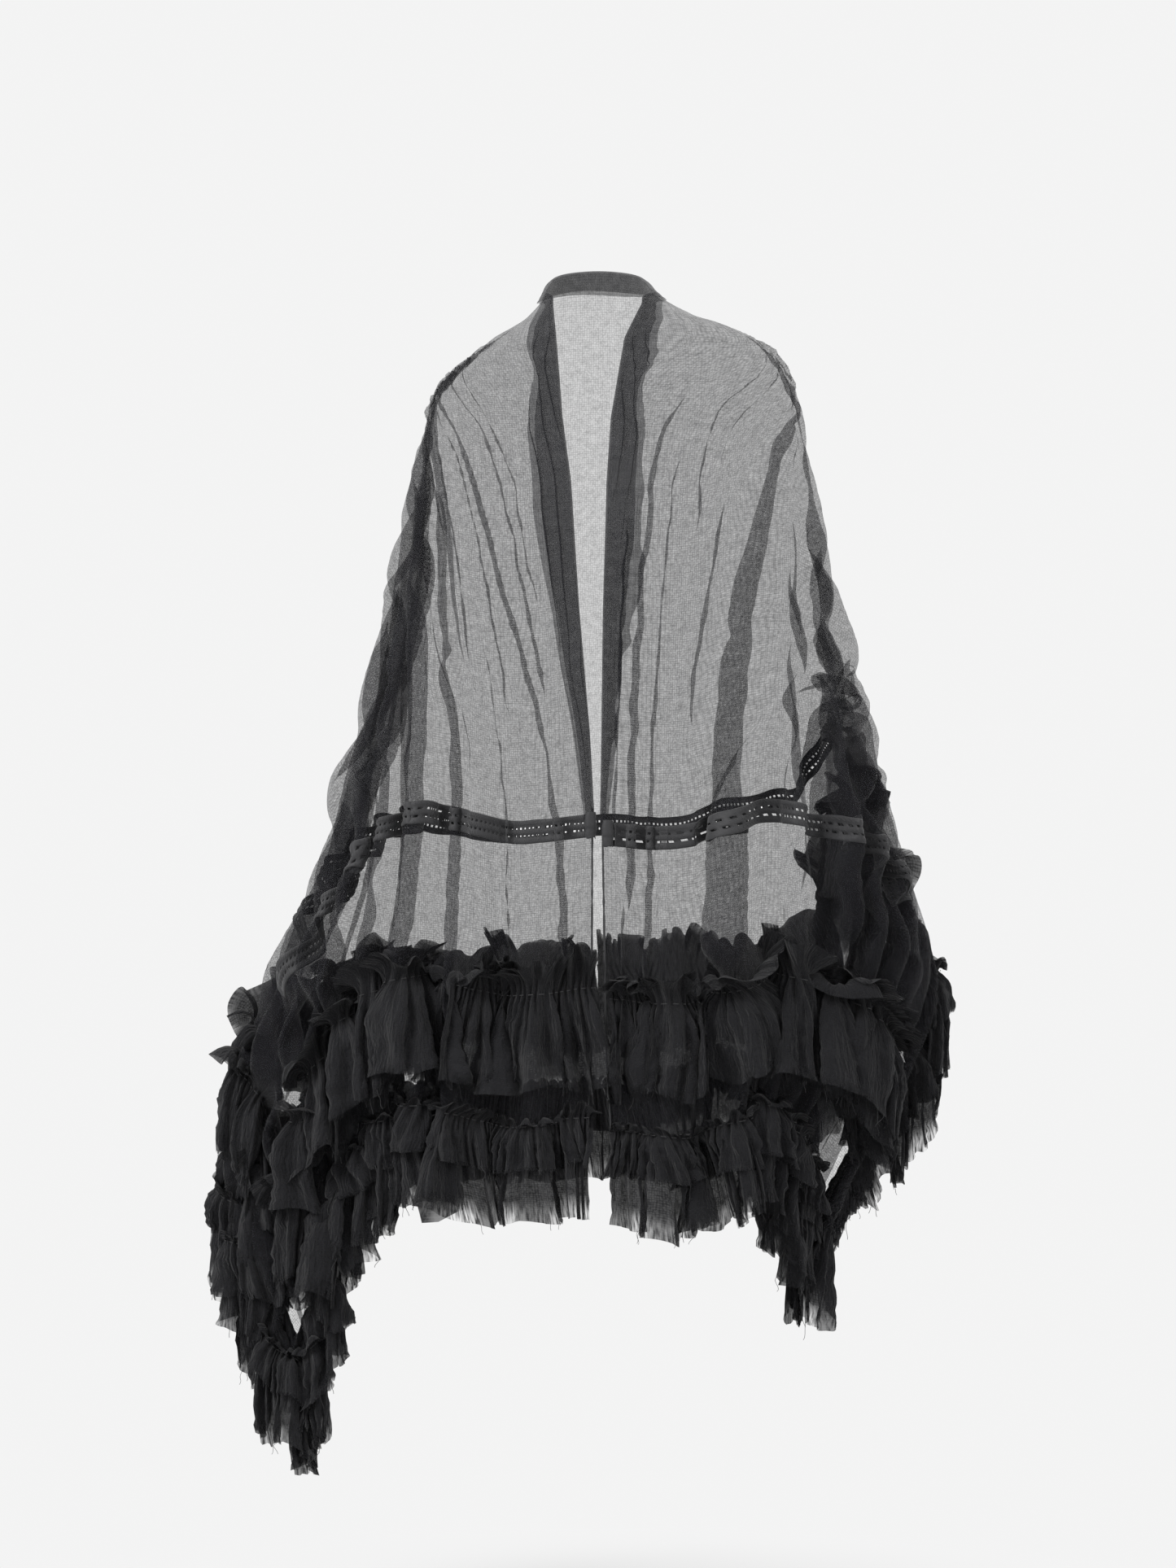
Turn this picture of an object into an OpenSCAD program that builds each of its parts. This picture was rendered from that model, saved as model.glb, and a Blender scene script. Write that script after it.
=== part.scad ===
// Ruffled net wrap: a rectangle of fine net worn over the shoulders, with a doubled fold along its neck edge,
// an inset lace band round three sides, a net border below it, and two tiers of gathered ruffles. The corners
// hang as a point at each side. +Z is up, -Y is the wearer's front and +X the wearer's left. The origin is the
// middle of the neck opening, where the wrap rests on the wearer's neck and shoulders.

/* [Lengths] */
// Drop from the neck opening to the net's lower edge, on the fronts
front_drop = 975; // [900:5:1040]
// Drop from the neck opening to the net's lower edge, at the middle of the back
back_drop = 950; // [880:5:1000]
// How far the net's right corner hangs below the right front's edge
right_corner = 245; // [150:1:260]
// How far the net's left corner hangs below the left front's edge
left_corner = 105; // [80:1:160]
// How far the left side's long edge is lifted where it passes over the arm
left_lift = 215; // [0:5:240]

/* [Lace band] */
// Height of the lace band's middle above the net's lower edge
band_rise = 335; // [300:5:380]
// Height of the lace band
band_height = 26; // [18:1:34]

/* [Ruffles] */
// Height of the upper ruffle's gathers above the net's lower edge
upper_rise = 150; // [130:5:180]
// Height of the heading that stands above the upper ruffle's gathers
heading_height = 26; // [15:1:35]
// Length of the upper ruffle below its gathers
upper_skirt = 118; // [80:1:125]
// Length of the short frill over the lower ruffle
frill_length = 52; // [35:1:70]
// Length of the lower ruffle below the net's edge
lower_skirt = 118; // [90:1:140]
// How far a ruffle's folds stand out at its free edge
ruffle_bulk = 30; // [18:1:36]

/* [Neck fold] */
// Width of the doubled fold on the fronts, at the collar bones
fold_width = 44; // [30:1:60]
// Width of the fold where it ends at the waist
fold_tip_width = 18; // [12:1:30]
// Drop from the neck opening to the fold's lower end
fold_drop = 600; // [450:5:620]

/* [Cloth] */
// Thickness of the solid that stands for one layer of gathered net
cloth = 2.4; // [2:0.2:4]
// Depth of the net's hanging folds at the lower edge
fold_depth = 9; // [4:1:12]
// How far each side point is turned to face the front, in degrees
corner_turn = 58; // [0:1:65]

/* [Hidden] */
SECTIONS = ["left_end", "left_back", "right_back", "right_end"];

// Places on the cloth are given as [turn, z]. turn runs round the wearer: 0 at the left front edge, 0.5 at
// the cloth's left corner, 1 at the middle of the back, 1.5 at the right corner and 2 at the right front edge.
// Section k runs from turn k / 2 to (k + 1) / 2.
SEAM = 0.0012;          // half the gap between neighbouring sections, in turns
SEAM_MM = 0.4;          // gap between cloths that are sewn edge to edge

NET = [0.13, 0.13, 0.14];
LACE = [0.05, 0.05, 0.06];
RUFFLE = [0.09, 0.09, 0.10];

// Half the wrap's width at each height, on the wearer's left arm and right arm
LEFT_WIDTHS = [[-1260, 240], [-1200, 258], [-1100, 296], [-1000, 334], [-900, 366], [-820, 376], [-750, 364],
    [-670, 340], [-575, 312], [-508, 298], [-432, 284], [-356, 269], [-290, 256], [-204, 245], [-147, 236],
    [-100, 222], [-71, 200], [-47, 155], [-30, 100], [-18, 66], [0, 56], [40, 54]];
RIGHT_WIDTHS = [[-1400, 350], [-1300, 358], [-1200, 368], [-1100, 378], [-1000, 382], [-900, 378], [-820, 366],
    [-755, 348], [-710, 323], [-660, 304], [-570, 284], [-500, 265], [-420, 244], [-320, 223], [-200, 206],
    [-128, 190], [-100, 164], [-60, 110], [-30, 68], [0, 56], [40, 54]];
// How far forward and back the cloth stands from the neck's middle at each height
FRONT_DEPTHS = [[-1300, 168], [-1000, 160], [-800, 146], [-600, 135], [-400, 129], [-285, 132], [-242, 118],
    [-166, 86], [-100, 62], [-50, 44], [0, 30], [40, 30]];
BACK_DEPTHS = [[-1300, 200], [-1000, 190], [-900, 182], [-700, 158], [-500, 132], [-300, 125], [-200, 118],
    [-100, 94], [-50, 80], [0, 66], [40, 60]];
// Distance of each front edge from the middle of the front
LEFT_EDGES = [[-1300, 10], [-900, 7], [-620, 4], [-385, 7], [-242, 11], [-166, 16], [-71, 32], [-30, 52], [0, 56]];
RIGHT_EDGES = [[-1300, 10], [-900, 5], [-622, 7], [-527, 12], [-385, 24], [-242, 33], [-166, 43], [-100, 48],
    [-30, 54], [0, 56]];
// Drop from the neck opening to the net's lower edge, all the way round
EDGE_DROPS = [[0, front_drop + 10], [0.3, front_drop + 25], [0.42, front_drop + 0.55 * left_corner],
    [0.5, front_drop + left_corner], [0.58, front_drop - 0.28 * left_lift], [0.66, front_drop - left_lift],
    [0.72, back_drop - 0.62 * left_lift], [0.8, back_drop - 0.2 * left_lift], [0.9, back_drop - 10], [1, back_drop],
    [1.2, back_drop + 5], [1.3, back_drop + 25], [1.4, back_drop + 100], [1.5, front_drop + right_corner],
    [1.58, front_drop + 0.6 * right_corner], [1.66, front_drop + 30], [2, front_drop - 5]];

function side_of(turn) = turn < 1 ? 1 : -1;
function half_turn(turn) = turn < 1 ? turn : 2 - turn;
function width_at(side, z) = lookup(z, side > 0 ? LEFT_WIDTHS : RIGHT_WIDTHS);
function front_edge(side, z) = lookup(z, side > 0 ? LEFT_EDGES : RIGHT_EDGES);
function ease(x) = let (c = min(1, max(0, x))) c * c * (3 - 2 * c);

// How far a place is turned about its corner's upright axis, so that the hanging point faces the front
function corner_swing(part, z) = corner_turn * ease((-z - 640) / 420) * ease(1 - abs(part - 0.5) / 0.42);

// A point of the smooth shape that the cloth is draped to
function envelope(turn, z) =
    let (
        side = side_of(turn),
        part = half_turn(turn),
        across = sin(180 * part),
        w = width_at(side, z),
        edge = part < 0.5 ? front_edge(side, z) : 0,
        depth = part < 0.5 ? -lookup(z, FRONT_DEPTHS) : lookup(z, BACK_DEPTHS),
        squareness = 2.5,
        x = edge + (w - edge) * across,
        y = depth * pow(max(0, 1 - pow(across, squareness)), 1 / squareness),
        swing = corner_swing(part, z),
        axis = w - 24
    )
    [
        side * (axis + (x - axis) * cos(swing) + y * sin(swing)),
        y * cos(swing) - (x - axis) * sin(swing),
        z
    ];

function unit(v) = v / norm(v);
function outward(turn, z) =
    let (
        dt = 0.004,
        dz = 6,
        round = envelope(min(turn + dt, 2), z) - envelope(max(turn - dt, 0), z),
        down = envelope(turn, z - dz) - envelope(turn, z + dz)
    )
    unit(cross(down, round));
function placed(place, offset) = envelope(place[0], place[1]) + outward(place[0], place[1]) * offset;

// Heights on the cloth. The cloth hangs as a square on each side, so a length measured across its edge is
// longer towards the corner.
function neck_line(turn) = let (part = half_turn(turn)) -32 + 47 * sin(90 * part);
function hem_line(turn) = -lookup(turn, EDGE_DROPS);
function toward_corner(turn) = let (angle = 90 * half_turn(turn)) 1 / max(cos(angle), sin(angle));
function row(turn, rise) = hem_line(turn) + rise * toward_corner(turn);
function fold(turn, z) =
    let (deep = fold_depth * ease((-z - 60) / 800), part = half_turn(turn))
    deep * (part < 0.34 ? 0.5 : 1) * sin(360 * part * 14 + 40 * side_of(turn));

// A closed shell between two offsets from the envelope. place maps [0..1, 0..1] to [turn, z]
module shell(place, inner, outer, columns, rows) {
    function grid(offset) = [
        for (i = [0:columns], j = [0:rows])
            let (p = i / columns, q = j / rows)
            placed(place(p, q), offset(p, q))
    ];
    points = concat(grid(inner), grid(outer));
    layer = (columns + 1) * (rows + 1);
    function at(i, j, side) = side * layer + i * (rows + 1) + j;
    function quad(a, b, c, d) = [[a, c, b], [a, d, c]];
    sheets = [
        for (i = [0:columns - 1], j = [0:rows - 1])
            each concat(
                quad(at(i, j, 1), at(i, j + 1, 1), at(i + 1, j + 1, 1), at(i + 1, j, 1)),
                quad(at(i, j, 0), at(i + 1, j, 0), at(i + 1, j + 1, 0), at(i, j + 1, 0))
            )
    ];
    ends = [
        for (j = [0:rows - 1])
            each concat(
                quad(at(0, j, 0), at(0, j + 1, 0), at(0, j + 1, 1), at(0, j, 1)),
                quad(at(columns, j, 0), at(columns, j, 1), at(columns, j + 1, 1), at(columns, j + 1, 0))
            )
    ];
    edges = [
        for (i = [0:columns - 1])
            each concat(
                quad(at(i, 0, 0), at(i, 0, 1), at(i + 1, 0, 1), at(i + 1, 0, 0)),
                quad(at(i, rows, 0), at(i + 1, rows, 0), at(i + 1, rows, 1), at(i, rows, 1))
            )
    ];
    polyhedron(points = points, faces = concat(sheets, ends, edges));
}

function section_turn(k, p) = k / 2 + SEAM + (0.5 - 2 * SEAM) * p;

// Net of section k between two heights
module net(k, top, bottom, columns, rows, gathers = 1) {
    place = function(p, q)
        let (turn = section_turn(k, p), high = top(turn), low = bottom(turn))
        [turn, high + (low - high) * pow(q, gathers)];
    middle = function(p, q) let (at = place(p, q)) fold(at[0], at[1]);
    shell(
        place,
        function(p, q) middle(p, q) - cloth / 2,
        function(p, q) middle(p, q) + cloth / 2,
        columns,
        rows
    );
}

// A gathered strip that hangs over the net from top to bottom; its folds stand further out lower down
module ruffle(k, top, bottom, gap, bulk, waves, columns = 28, rows = 4) {
    place = function(p, q)
        let (turn = section_turn(k, p), high = top(turn), low = bottom(turn))
        [turn, high + (low - high) * q];
    shell(
        place,
        function(p, q) gap,
        function(p, q) gap + 4 + (bulk - 4) * pow(q, 0.7) * (0.84 + 0.16 * sin(360 * waves * p)),
        columns,
        rows
    );
}

neck = function(turn) neck_line(turn);
net_bottom = function(turn) row(turn, band_rise + band_height / 2) + SEAM_MM;
band_top = function(turn) row(turn, band_rise + band_height / 2) - SEAM_MM;
band_bottom = function(turn) row(turn, band_rise - band_height / 2) + SEAM_MM;
border_top = function(turn) row(turn, band_rise - band_height / 2) - SEAM_MM;
border_bottom = function(turn) row(turn, 0);
upper_top = function(turn) row(turn, upper_rise + heading_height);
upper_bottom = function(turn) row(turn, upper_rise - upper_skirt);
frill_top = function(turn) row(turn, 12);
frill_bottom = function(turn) row(turn, 12 - frill_length);
lower_top = function(turn) row(turn, -1.5);
lower_bottom = function(turn) row(turn, -lower_skirt);
OVER_NET = fold_depth + 3;

// The neck edge is folded back over the outside of each front
module front_fold(side) {
    width = function(z) fold_tip_width + (fold_width - fold_tip_width) * (z + fold_drop) / fold_drop;
    place = function(p, q)
        let (
            z = -44 - (fold_drop - 44) * q,
            along = 0.0025 + width(z) / width_at(side, z) / PI * (side > 0 ? p : 1 - p)
        )
        [side > 0 ? along : 2 - along, z];
    lift = function(p, q) let (at = place(p, q)) fold(at[0], at[1]) + cloth / 2;
    color(RUFFLE)
        shell(place, function(p, q) lift(p, q) + 0.4, function(p, q) lift(p, q) + 4.6, 4, 14);
}

module nape_fold() {
    place = function(p, q)
        let (turn = 0.06 + 1.88 * p)
        [turn, neck_line(turn) - 2 - 7 * q];
    color(RUFFLE)
        shell(place, function(p, q) 1.8, function(p, q) 5.6, 36, 2);
}

// The turned-in end of the lace band at the front edge
module band_end(side) {
    turn = side > 0 ? 0.0085 : 1.9915;
    radius = 3;
    straight = band_height / 2 - radius;
    color(LACE)
        translate(placed([turn, row(turn, band_rise)], 7.5))
            rotate_extrude($fn = 24) {
                translate([0, -straight])
                    square([radius, 2 * straight]);
                for (end = [-1, 1])
                    translate([0, end * straight])
                        intersection() {
                            circle(r = radius, $fn = 24);
                            translate([0, end > 0 ? 0 : -radius])
                                square(radius);
                        }
            }
}

module body_net(k) { color(NET) net(k, neck, net_bottom, 26, 12, 1.6); }
module lace(k) { color(LACE) net(k, band_top, band_bottom, 26, 1); }
module border(k) { color(NET) net(k, border_top, border_bottom, 26, 4); }
module upper_ruffle(k) { color(RUFFLE) ruffle(k, upper_top, upper_bottom, OVER_NET, ruffle_bulk, 7); }
module frill(k) { color(RUFFLE) ruffle(k, frill_top, frill_bottom, OVER_NET, ruffle_bulk - 6, 7); }
module lower_ruffle(k) { color(RUFFLE) ruffle(k, lower_top, lower_bottom, -8, fold_depth + 10, 7); }

nape_fold();
front_fold(1);  // left_front_fold
front_fold(-1);  // right_front_fold
body_net(0);  // left_front_net
body_net(1);  // left_back_net
body_net(2);  // right_back_net
body_net(3);  // right_front_net
for (k = [0:3]) {
    lace(k);
    border(k);
    upper_ruffle(k);
    frill(k);
    lower_ruffle(k);
}
band_end(1);  // left_band_end
band_end(-1);  // right_band_end
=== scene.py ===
"""Sheer net wrap with an insertion lace band and two tiers of ruffles, hung as it is worn.

The wrap is a rectangle of fine net. One long edge lies round the neck and down both fronts. The other three
edges carry, from the inside out, a lace band, a net border and two tiers of gathered ruffles. Places on the
cloth are given flat, as (a, b): a runs along the neck edge from the middle of the back, with the wearer's left
positive, and b runs away from the neck edge. Lengths are in metres unless a name says mm.
"""
import logging
import math
from dataclasses import dataclass, field
from enum import Enum

import bmesh
import bpy
import numpy as np
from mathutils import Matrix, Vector


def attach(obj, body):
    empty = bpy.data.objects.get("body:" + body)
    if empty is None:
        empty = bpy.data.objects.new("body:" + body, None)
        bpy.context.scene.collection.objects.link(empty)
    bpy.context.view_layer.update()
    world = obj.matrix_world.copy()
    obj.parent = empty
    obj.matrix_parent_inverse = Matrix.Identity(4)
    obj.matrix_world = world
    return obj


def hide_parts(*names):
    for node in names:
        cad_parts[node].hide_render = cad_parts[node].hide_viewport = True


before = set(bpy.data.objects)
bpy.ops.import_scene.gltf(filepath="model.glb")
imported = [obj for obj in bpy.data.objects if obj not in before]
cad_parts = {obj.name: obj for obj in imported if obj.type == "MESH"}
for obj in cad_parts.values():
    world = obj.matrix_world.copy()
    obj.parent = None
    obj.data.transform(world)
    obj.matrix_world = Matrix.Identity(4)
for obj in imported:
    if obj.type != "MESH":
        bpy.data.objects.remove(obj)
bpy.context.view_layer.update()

LOG = logging.getLogger("wrap")
MM = 0.001
TAU = 2 * math.pi
ROOM = 0.004    # half the distance over which directions on the net are read
BODY = "root"
Array = np.ndarray


class Slot(Enum):
    """Names of material slots."""

    NET = "net"
    NECK_FOLD = "neck_fold"
    LACE = "lace"
    RUFFLE = "ruffle"


class Section(Enum):
    """The four lengths of each strip, in their order round the wearer."""

    LEFT_END = 0
    LEFT_BACK = 1
    RIGHT_BACK = 2
    RIGHT_END = 3

    @property
    def label(self) -> str:
        """The section's name as the CAD nodes have it."""
        return self.name.lower()

    @property
    def side(self) -> int:
        """1 on the wearer's left, -1 on the right."""
        return 1 if self.value < 2 else -1

    @property
    def is_end(self) -> bool:
        """True for a short end of the cloth, False for half of its long edge."""
        return self in (Section.LEFT_END, Section.RIGHT_END)


# ---------------------------------------------------------------- small tools


def srgb(code: str) -> tuple[float, float, float, float]:
    """Turns a colour such as "#1a1a1c" into linear RGBA.

    Args:
        code: sRGB hex colour.

    Returns:
        Linear red, green, blue and an alpha of 1.
    """
    channels = [int(code[i : i + 2], 16) / 255 for i in (1, 3, 5)]
    linear = [c / 12.92 if c <= 0.04045 else ((c + 0.055) / 1.055) ** 2.4 for c in channels]
    return (linear[0], linear[1], linear[2], 1.0)


def ease(x: Array) -> Array:
    """Smooth step from 0 at x = 0 to 1 at x = 1."""
    c = np.clip(x, 0.0, 1.0)
    return c * c * (3 - 2 * c)


def unit(v: Array) -> Array:
    """The vectors of v at length 1."""
    return v / np.maximum(np.linalg.norm(v, axis=-1, keepdims=True), 1e-12)


def wander(x: Array, step: float, seed: int) -> Array:
    """Smooth random curve between -1 and 1.

    Args:
        x: where it is read.
        step: distance between its turning points, in the units of x.
        seed: which curve.

    Returns:
        The curve's height at each x.
    """
    size, middle = 1024, 511.3
    table = np.random.default_rng(seed).uniform(-1, 1, size)
    k = np.asarray(x) / step + middle
    i = np.floor(k).astype(int)
    f = ease(k - i)
    return table[i % size] * (1 - f) + table[(i + 1) % size] * f


def ripple(x: Array, y: Array, step_x: float, step_y: float, seed: int) -> Array:
    """Smooth random surface between -1 and 1.

    Args:
        x: first coordinate.
        y: second coordinate.
        step_x: distance between bumps along x.
        step_y: distance between bumps along y.
        seed: which surface.

    Returns:
        The surface's height at each place.
    """
    size, middle_x, middle_y = 256, 97.7, 61.2
    table = np.random.default_rng(seed).uniform(-1, 1, (size, size))
    kx, ky = np.asarray(x) / step_x + middle_x, np.asarray(y) / step_y + middle_y
    ix, iy = np.floor(kx).astype(int), np.floor(ky).astype(int)
    fx, fy = ease(kx - ix), ease(ky - iy)
    first, second = ix % size, (ix + 1) % size
    low, high = (table[first, j % size] * (1 - fx) + table[second, j % size] * fx for j in (iy, iy + 1))
    return low * (1 - fy) + high * fy


def look_up(table: tuple, x: Array) -> Array:
    """Reads a table of (x, y) pairs at x, straight between its pairs."""
    pairs = np.array(table, dtype=float)
    return np.interp(x, pairs[:, 0], pairs[:, 1])


def blur(grid: Array, window: int, axis: int = 0) -> Array:
    """Running mean along one direction of a grid.

    Args:
        grid: numbers or vectors.
        window: how many rows the mean spans.
        axis: the direction.

    Returns:
        The softened grid, of the same size.
    """
    grid = np.moveaxis(grid, axis, 0)
    pad = window // 2
    wide = np.concatenate([np.repeat(grid[:1], pad + 1, 0), grid, np.repeat(grid[-1:], pad, 0)])
    total = np.cumsum(wide, axis=0)
    return np.moveaxis((total[2 * pad + 1 :] - total[: -2 * pad - 1]) / (2 * pad + 1), 0, axis)


def side_name(side: int) -> str:
    """"left" for 1, the wearer's left, and "right" for -1."""
    return "left" if side > 0 else "right"


def wrinkled(points: Array, flat: Array, height: float) -> Array:
    """Adds fine creases to a grid of cloth points.

    Args:
        points: the grid.
        flat: its flat coordinates.
        height: how deep the creases are.

    Returns:
        The creased grid.
    """
    normal = unit(np.cross(np.gradient(points, axis=1), np.gradient(points, axis=0)))
    a, b = flat[..., 0], flat[..., 1]
    crease = ripple(a + 0.3 * b, b - 0.3 * a, 0.022, 0.06, 21) + 0.5 * ripple(a, b, 0.011, 0.014, 22)
    return points + normal * (height * crease)[..., None]


def grid_object(name: str, points: Array, uv: Array,
                marks: dict[str, Array] | None = None) -> bpy.types.Object:
    """Makes an object from a grid of points.

    Args:
        name: the object's name.
        points: its points, as (columns, rows, 3).
        uv: flat cloth coordinates, as (columns, rows, 2).
        marks: further numbers at each point, by attribute name.

    Returns:
        The new object, whose faces point along rows x columns.
    """
    n, m = points.shape[:2]
    mesh = bpy.data.meshes.new(name)
    index = np.arange(n * m).reshape(n, m)
    quads = np.stack([index[:-1, :-1], index[:-1, 1:], index[1:, 1:], index[1:, :-1]], -1).reshape(-1, 4)
    mesh.vertices.add(n * m)
    mesh.vertices.foreach_set("co", points.reshape(-1).astype(np.float32))
    mesh.loops.add(len(quads) * 4)
    mesh.loops.foreach_set("vertex_index", quads.reshape(-1).astype(np.int32))
    mesh.polygons.add(len(quads))
    mesh.polygons.foreach_set("loop_start", np.arange(0, len(quads) * 4, 4, dtype=np.int32))
    mesh.update(calc_edges=True)
    mesh.polygons.foreach_set("use_smooth", np.ones(len(quads), dtype=bool))
    layer = mesh.uv_layers.new(name="Cloth")
    layer.data.foreach_set("uv", uv.reshape(-1, 2)[quads.reshape(-1)].reshape(-1).astype(np.float32))
    for mark, values in (marks or {}).items():
        attribute = mesh.attributes.new(mark, "FLOAT", "POINT")
        attribute.data.foreach_set("value", values.reshape(-1).astype(np.float32))
    mesh.validate()
    piece = bpy.data.objects.new(name, mesh)
    bpy.context.scene.collection.objects.link(piece)
    return piece


def grid_area(points: Array) -> float:
    """The area of the surface through a grid of points."""
    p, q, r, s = points[:-1, :-1], points[1:, :-1], points[1:, 1:], points[:-1, 1:]
    first = np.linalg.norm(np.cross(q - p, r - p), axis=-1)
    second = np.linalg.norm(np.cross(r - p, s - p), axis=-1)
    return float((first.sum() + second.sum()) / 2)


# ---------------------------------------------------------------- the cloth's cut and the way it hangs


@dataclass(frozen=True)
class Cut:
    """The flat cut of the net, and where its rows lie, as distances inside its three ruffled edges."""

    end: float = 0.955          # from the neck's side to a short end
    drop: float = 1.025         # from the neck edge to the long edge
    nape: float = 0.12          # from the middle of the back to the top of a front edge
    shoulder: tuple = (0.23, 0.17)   # the place that lies on the point of the shoulder
    band_rise: float = 0.335    # the lace band's middle
    band_height: float = 0.026
    upper_rise: float = 0.150   # the upper ruffle's gathers

    @property
    def reach(self) -> float:
        """From the middle of the back to a short end."""
        return self.nape + self.end

    def strip(self, section: Section, t: Array, inside: Array) -> tuple[Array, Array]:
        """Flat coordinates along a strip.

        Args:
            section: which length of the strip.
            t: 0 to 1 along the section, in the order round the wearer.
            inside: distance inside the cloth's edge.

        Returns:
            a and b, mitred at the corner.
        """
        from_front = t if section.side > 0 else 1 - t
        if section.is_end:
            a = (self.reach - inside) * np.ones_like(t)
            b = (self.drop - inside) * from_front
        else:
            a = (self.reach - inside) * (1 - from_front)
            b = (self.drop - inside) * np.ones_like(t)
        return section.side * a, b


@dataclass(frozen=True)
class HangingForm:
    """The smooth shape that the wrap is draped to, as tables in millimetres against height.

    It follows the CAD model's form, but is narrower at the left point and a little more open at the slit.

    Attributes:
        front_drop: from the neck to the net's lower edge in front.
        back_drop: the same behind.
        right_corner: how much lower the right point's edge is.
        left_corner: how much lower the left point's edge is.
        left_lift: how far the edge is lifted behind the left point.
        corner_turn: degrees that the side points turn towards the front.
        turn_from: drop at which that turn begins.
        turn_over: height over which it grows.
        turn_reach: how far round from the side it fades out, as a share of half the way round.
        axis_inside: how far inside the side its axis is.
        squareness: 2 for an ellipse, more for a squarer section.
        left_widths: half widths on the wearer's left.
        right_widths: half widths on the wearer's right.
        front_depths: depths in front of the neck.
        back_depths: depths behind it.
        left_edges: how far from the middle the left front edge is.
        right_edges: the same of the right one.
    """

    front_drop: float = 975
    back_drop: float = 950
    right_corner: float = 245
    left_corner: float = 105
    left_lift: float = 215
    corner_turn: float = 58
    turn_from: float = 640
    turn_over: float = 420
    turn_reach: float = 0.42
    axis_inside: float = 24
    squareness: float = 2.5
    left_widths: tuple = ((-1260, 205), (-1200, 216), (-1100, 246), (-1000, 292), (-900, 350), (-820, 374),
                          (-750, 364), (-670, 340), (-575, 312), (-508, 298), (-432, 284), (-356, 269),
                          (-290, 256), (-204, 245), (-147, 236), (-100, 222), (-71, 200), (-47, 155),
                          (-30, 100), (-18, 66), (0, 56), (40, 54))
    right_widths: tuple = ((-1400, 350), (-1300, 358), (-1200, 368), (-1100, 378), (-1000, 382), (-900, 378),
                           (-820, 366), (-755, 348), (-710, 323), (-660, 304), (-570, 284), (-500, 265),
                           (-420, 244), (-320, 223), (-200, 206), (-128, 190), (-100, 164), (-60, 110),
                           (-30, 68), (0, 56), (40, 54))
    front_depths: tuple = ((-1300, 168), (-1000, 160), (-800, 146), (-600, 135), (-400, 129), (-285, 132),
                           (-242, 118), (-166, 86), (-100, 62), (-50, 44), (0, 30), (40, 30))
    back_depths: tuple = ((-1300, 200), (-1000, 190), (-900, 182), (-700, 158), (-500, 132), (-300, 125),
                          (-200, 118), (-100, 94), (-50, 80), (0, 66), (40, 60))
    left_edges: tuple = ((-1300, 24), (-1000, 15), (-900, 9), (-620, 4), (-385, 7), (-242, 11), (-166, 16),
                         (-71, 32), (-30, 52), (0, 56))
    right_edges: tuple = ((-1300, 26), (-1000, 15), (-900, 8), (-622, 7), (-527, 12), (-385, 24), (-242, 33),
                          (-166, 43), (-100, 48), (-30, 54), (0, 56))

    def edge_drops(self) -> tuple:
        """Drop from the neck to the net's lower edge, all the way round."""
        front, back, lift = self.front_drop, self.back_drop, self.left_lift
        return ((0, front + 10), (0.3, front + 25), (0.42, front + 0.55 * self.left_corner),
                (0.5, front + self.left_corner), (0.58, front - 0.28 * lift), (0.66, front - lift),
                (0.72, back - 0.62 * lift), (0.8, back - 0.2 * lift), (0.9, back - 10), (1, back),
                (1.2, back + 5), (1.3, back + 25), (1.4, back + 100), (1.5, front + self.right_corner),
                (1.58, front + 0.6 * self.right_corner), (1.66, front + 30), (2, front - 5))

    def surface(self, turn: Array, z: Array) -> Array:
        """The form's point at a turn and a height.

        Args:
            turn: 0 at the left front edge, 1 at the middle of the back, 2 at the right front edge.
            z: height in metres.

        Returns:
            Points in metres.
        """
        left = turn < 1
        part = np.where(left, turn, 2 - turn)
        mm = z * 1000
        across = np.sin(np.pi * part)
        width = np.where(left, look_up(self.left_widths, mm), look_up(self.right_widths, mm))
        front_edge = np.where(left, look_up(self.left_edges, mm), look_up(self.right_edges, mm))
        edge = np.where(part < 0.5, front_edge, 0)
        depth = np.where(part < 0.5, -look_up(self.front_depths, mm), look_up(self.back_depths, mm))
        x = edge + (width - edge) * across
        y = depth * np.maximum(0, 1 - across**self.squareness) ** (1 / self.squareness)
        low_down = ease((-mm - self.turn_from) / self.turn_over)
        near_side = ease(1 - np.abs(part - 0.5) / self.turn_reach)
        swing = np.radians(self.corner_turn) * low_down * near_side
        axis = width - self.axis_inside
        side = np.where(left, 1, -1)
        px = side * (axis + (x - axis) * np.cos(swing) + y * np.sin(swing))
        py = y * np.cos(swing) - (x - axis) * np.sin(swing)
        return np.stack([px, py, mm + 0 * px], -1) * MM

    def girth(self, side: int, z: Array, parts: Array) -> Array:
        """Distance round the form from the front edge, at each height.

        Args:
            side: 1 on the wearer's left, -1 on the right.
            z: heights in metres.
            parts: where it is read, from 0 at the front edge to 1 at the middle of the back.

        Returns:
            Distances as (heights, parts).
        """
        turn = parts if side > 0 else 2 - parts
        turns = np.broadcast_to(turn, (len(z), len(parts)))
        ring = self.surface(turns, np.repeat(z[:, None], len(parts), 1))
        steps = np.linalg.norm(np.diff(ring, axis=1), axis=-1)
        return np.concatenate([np.zeros((len(z), 1)), np.cumsum(steps, 1)], 1)


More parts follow.
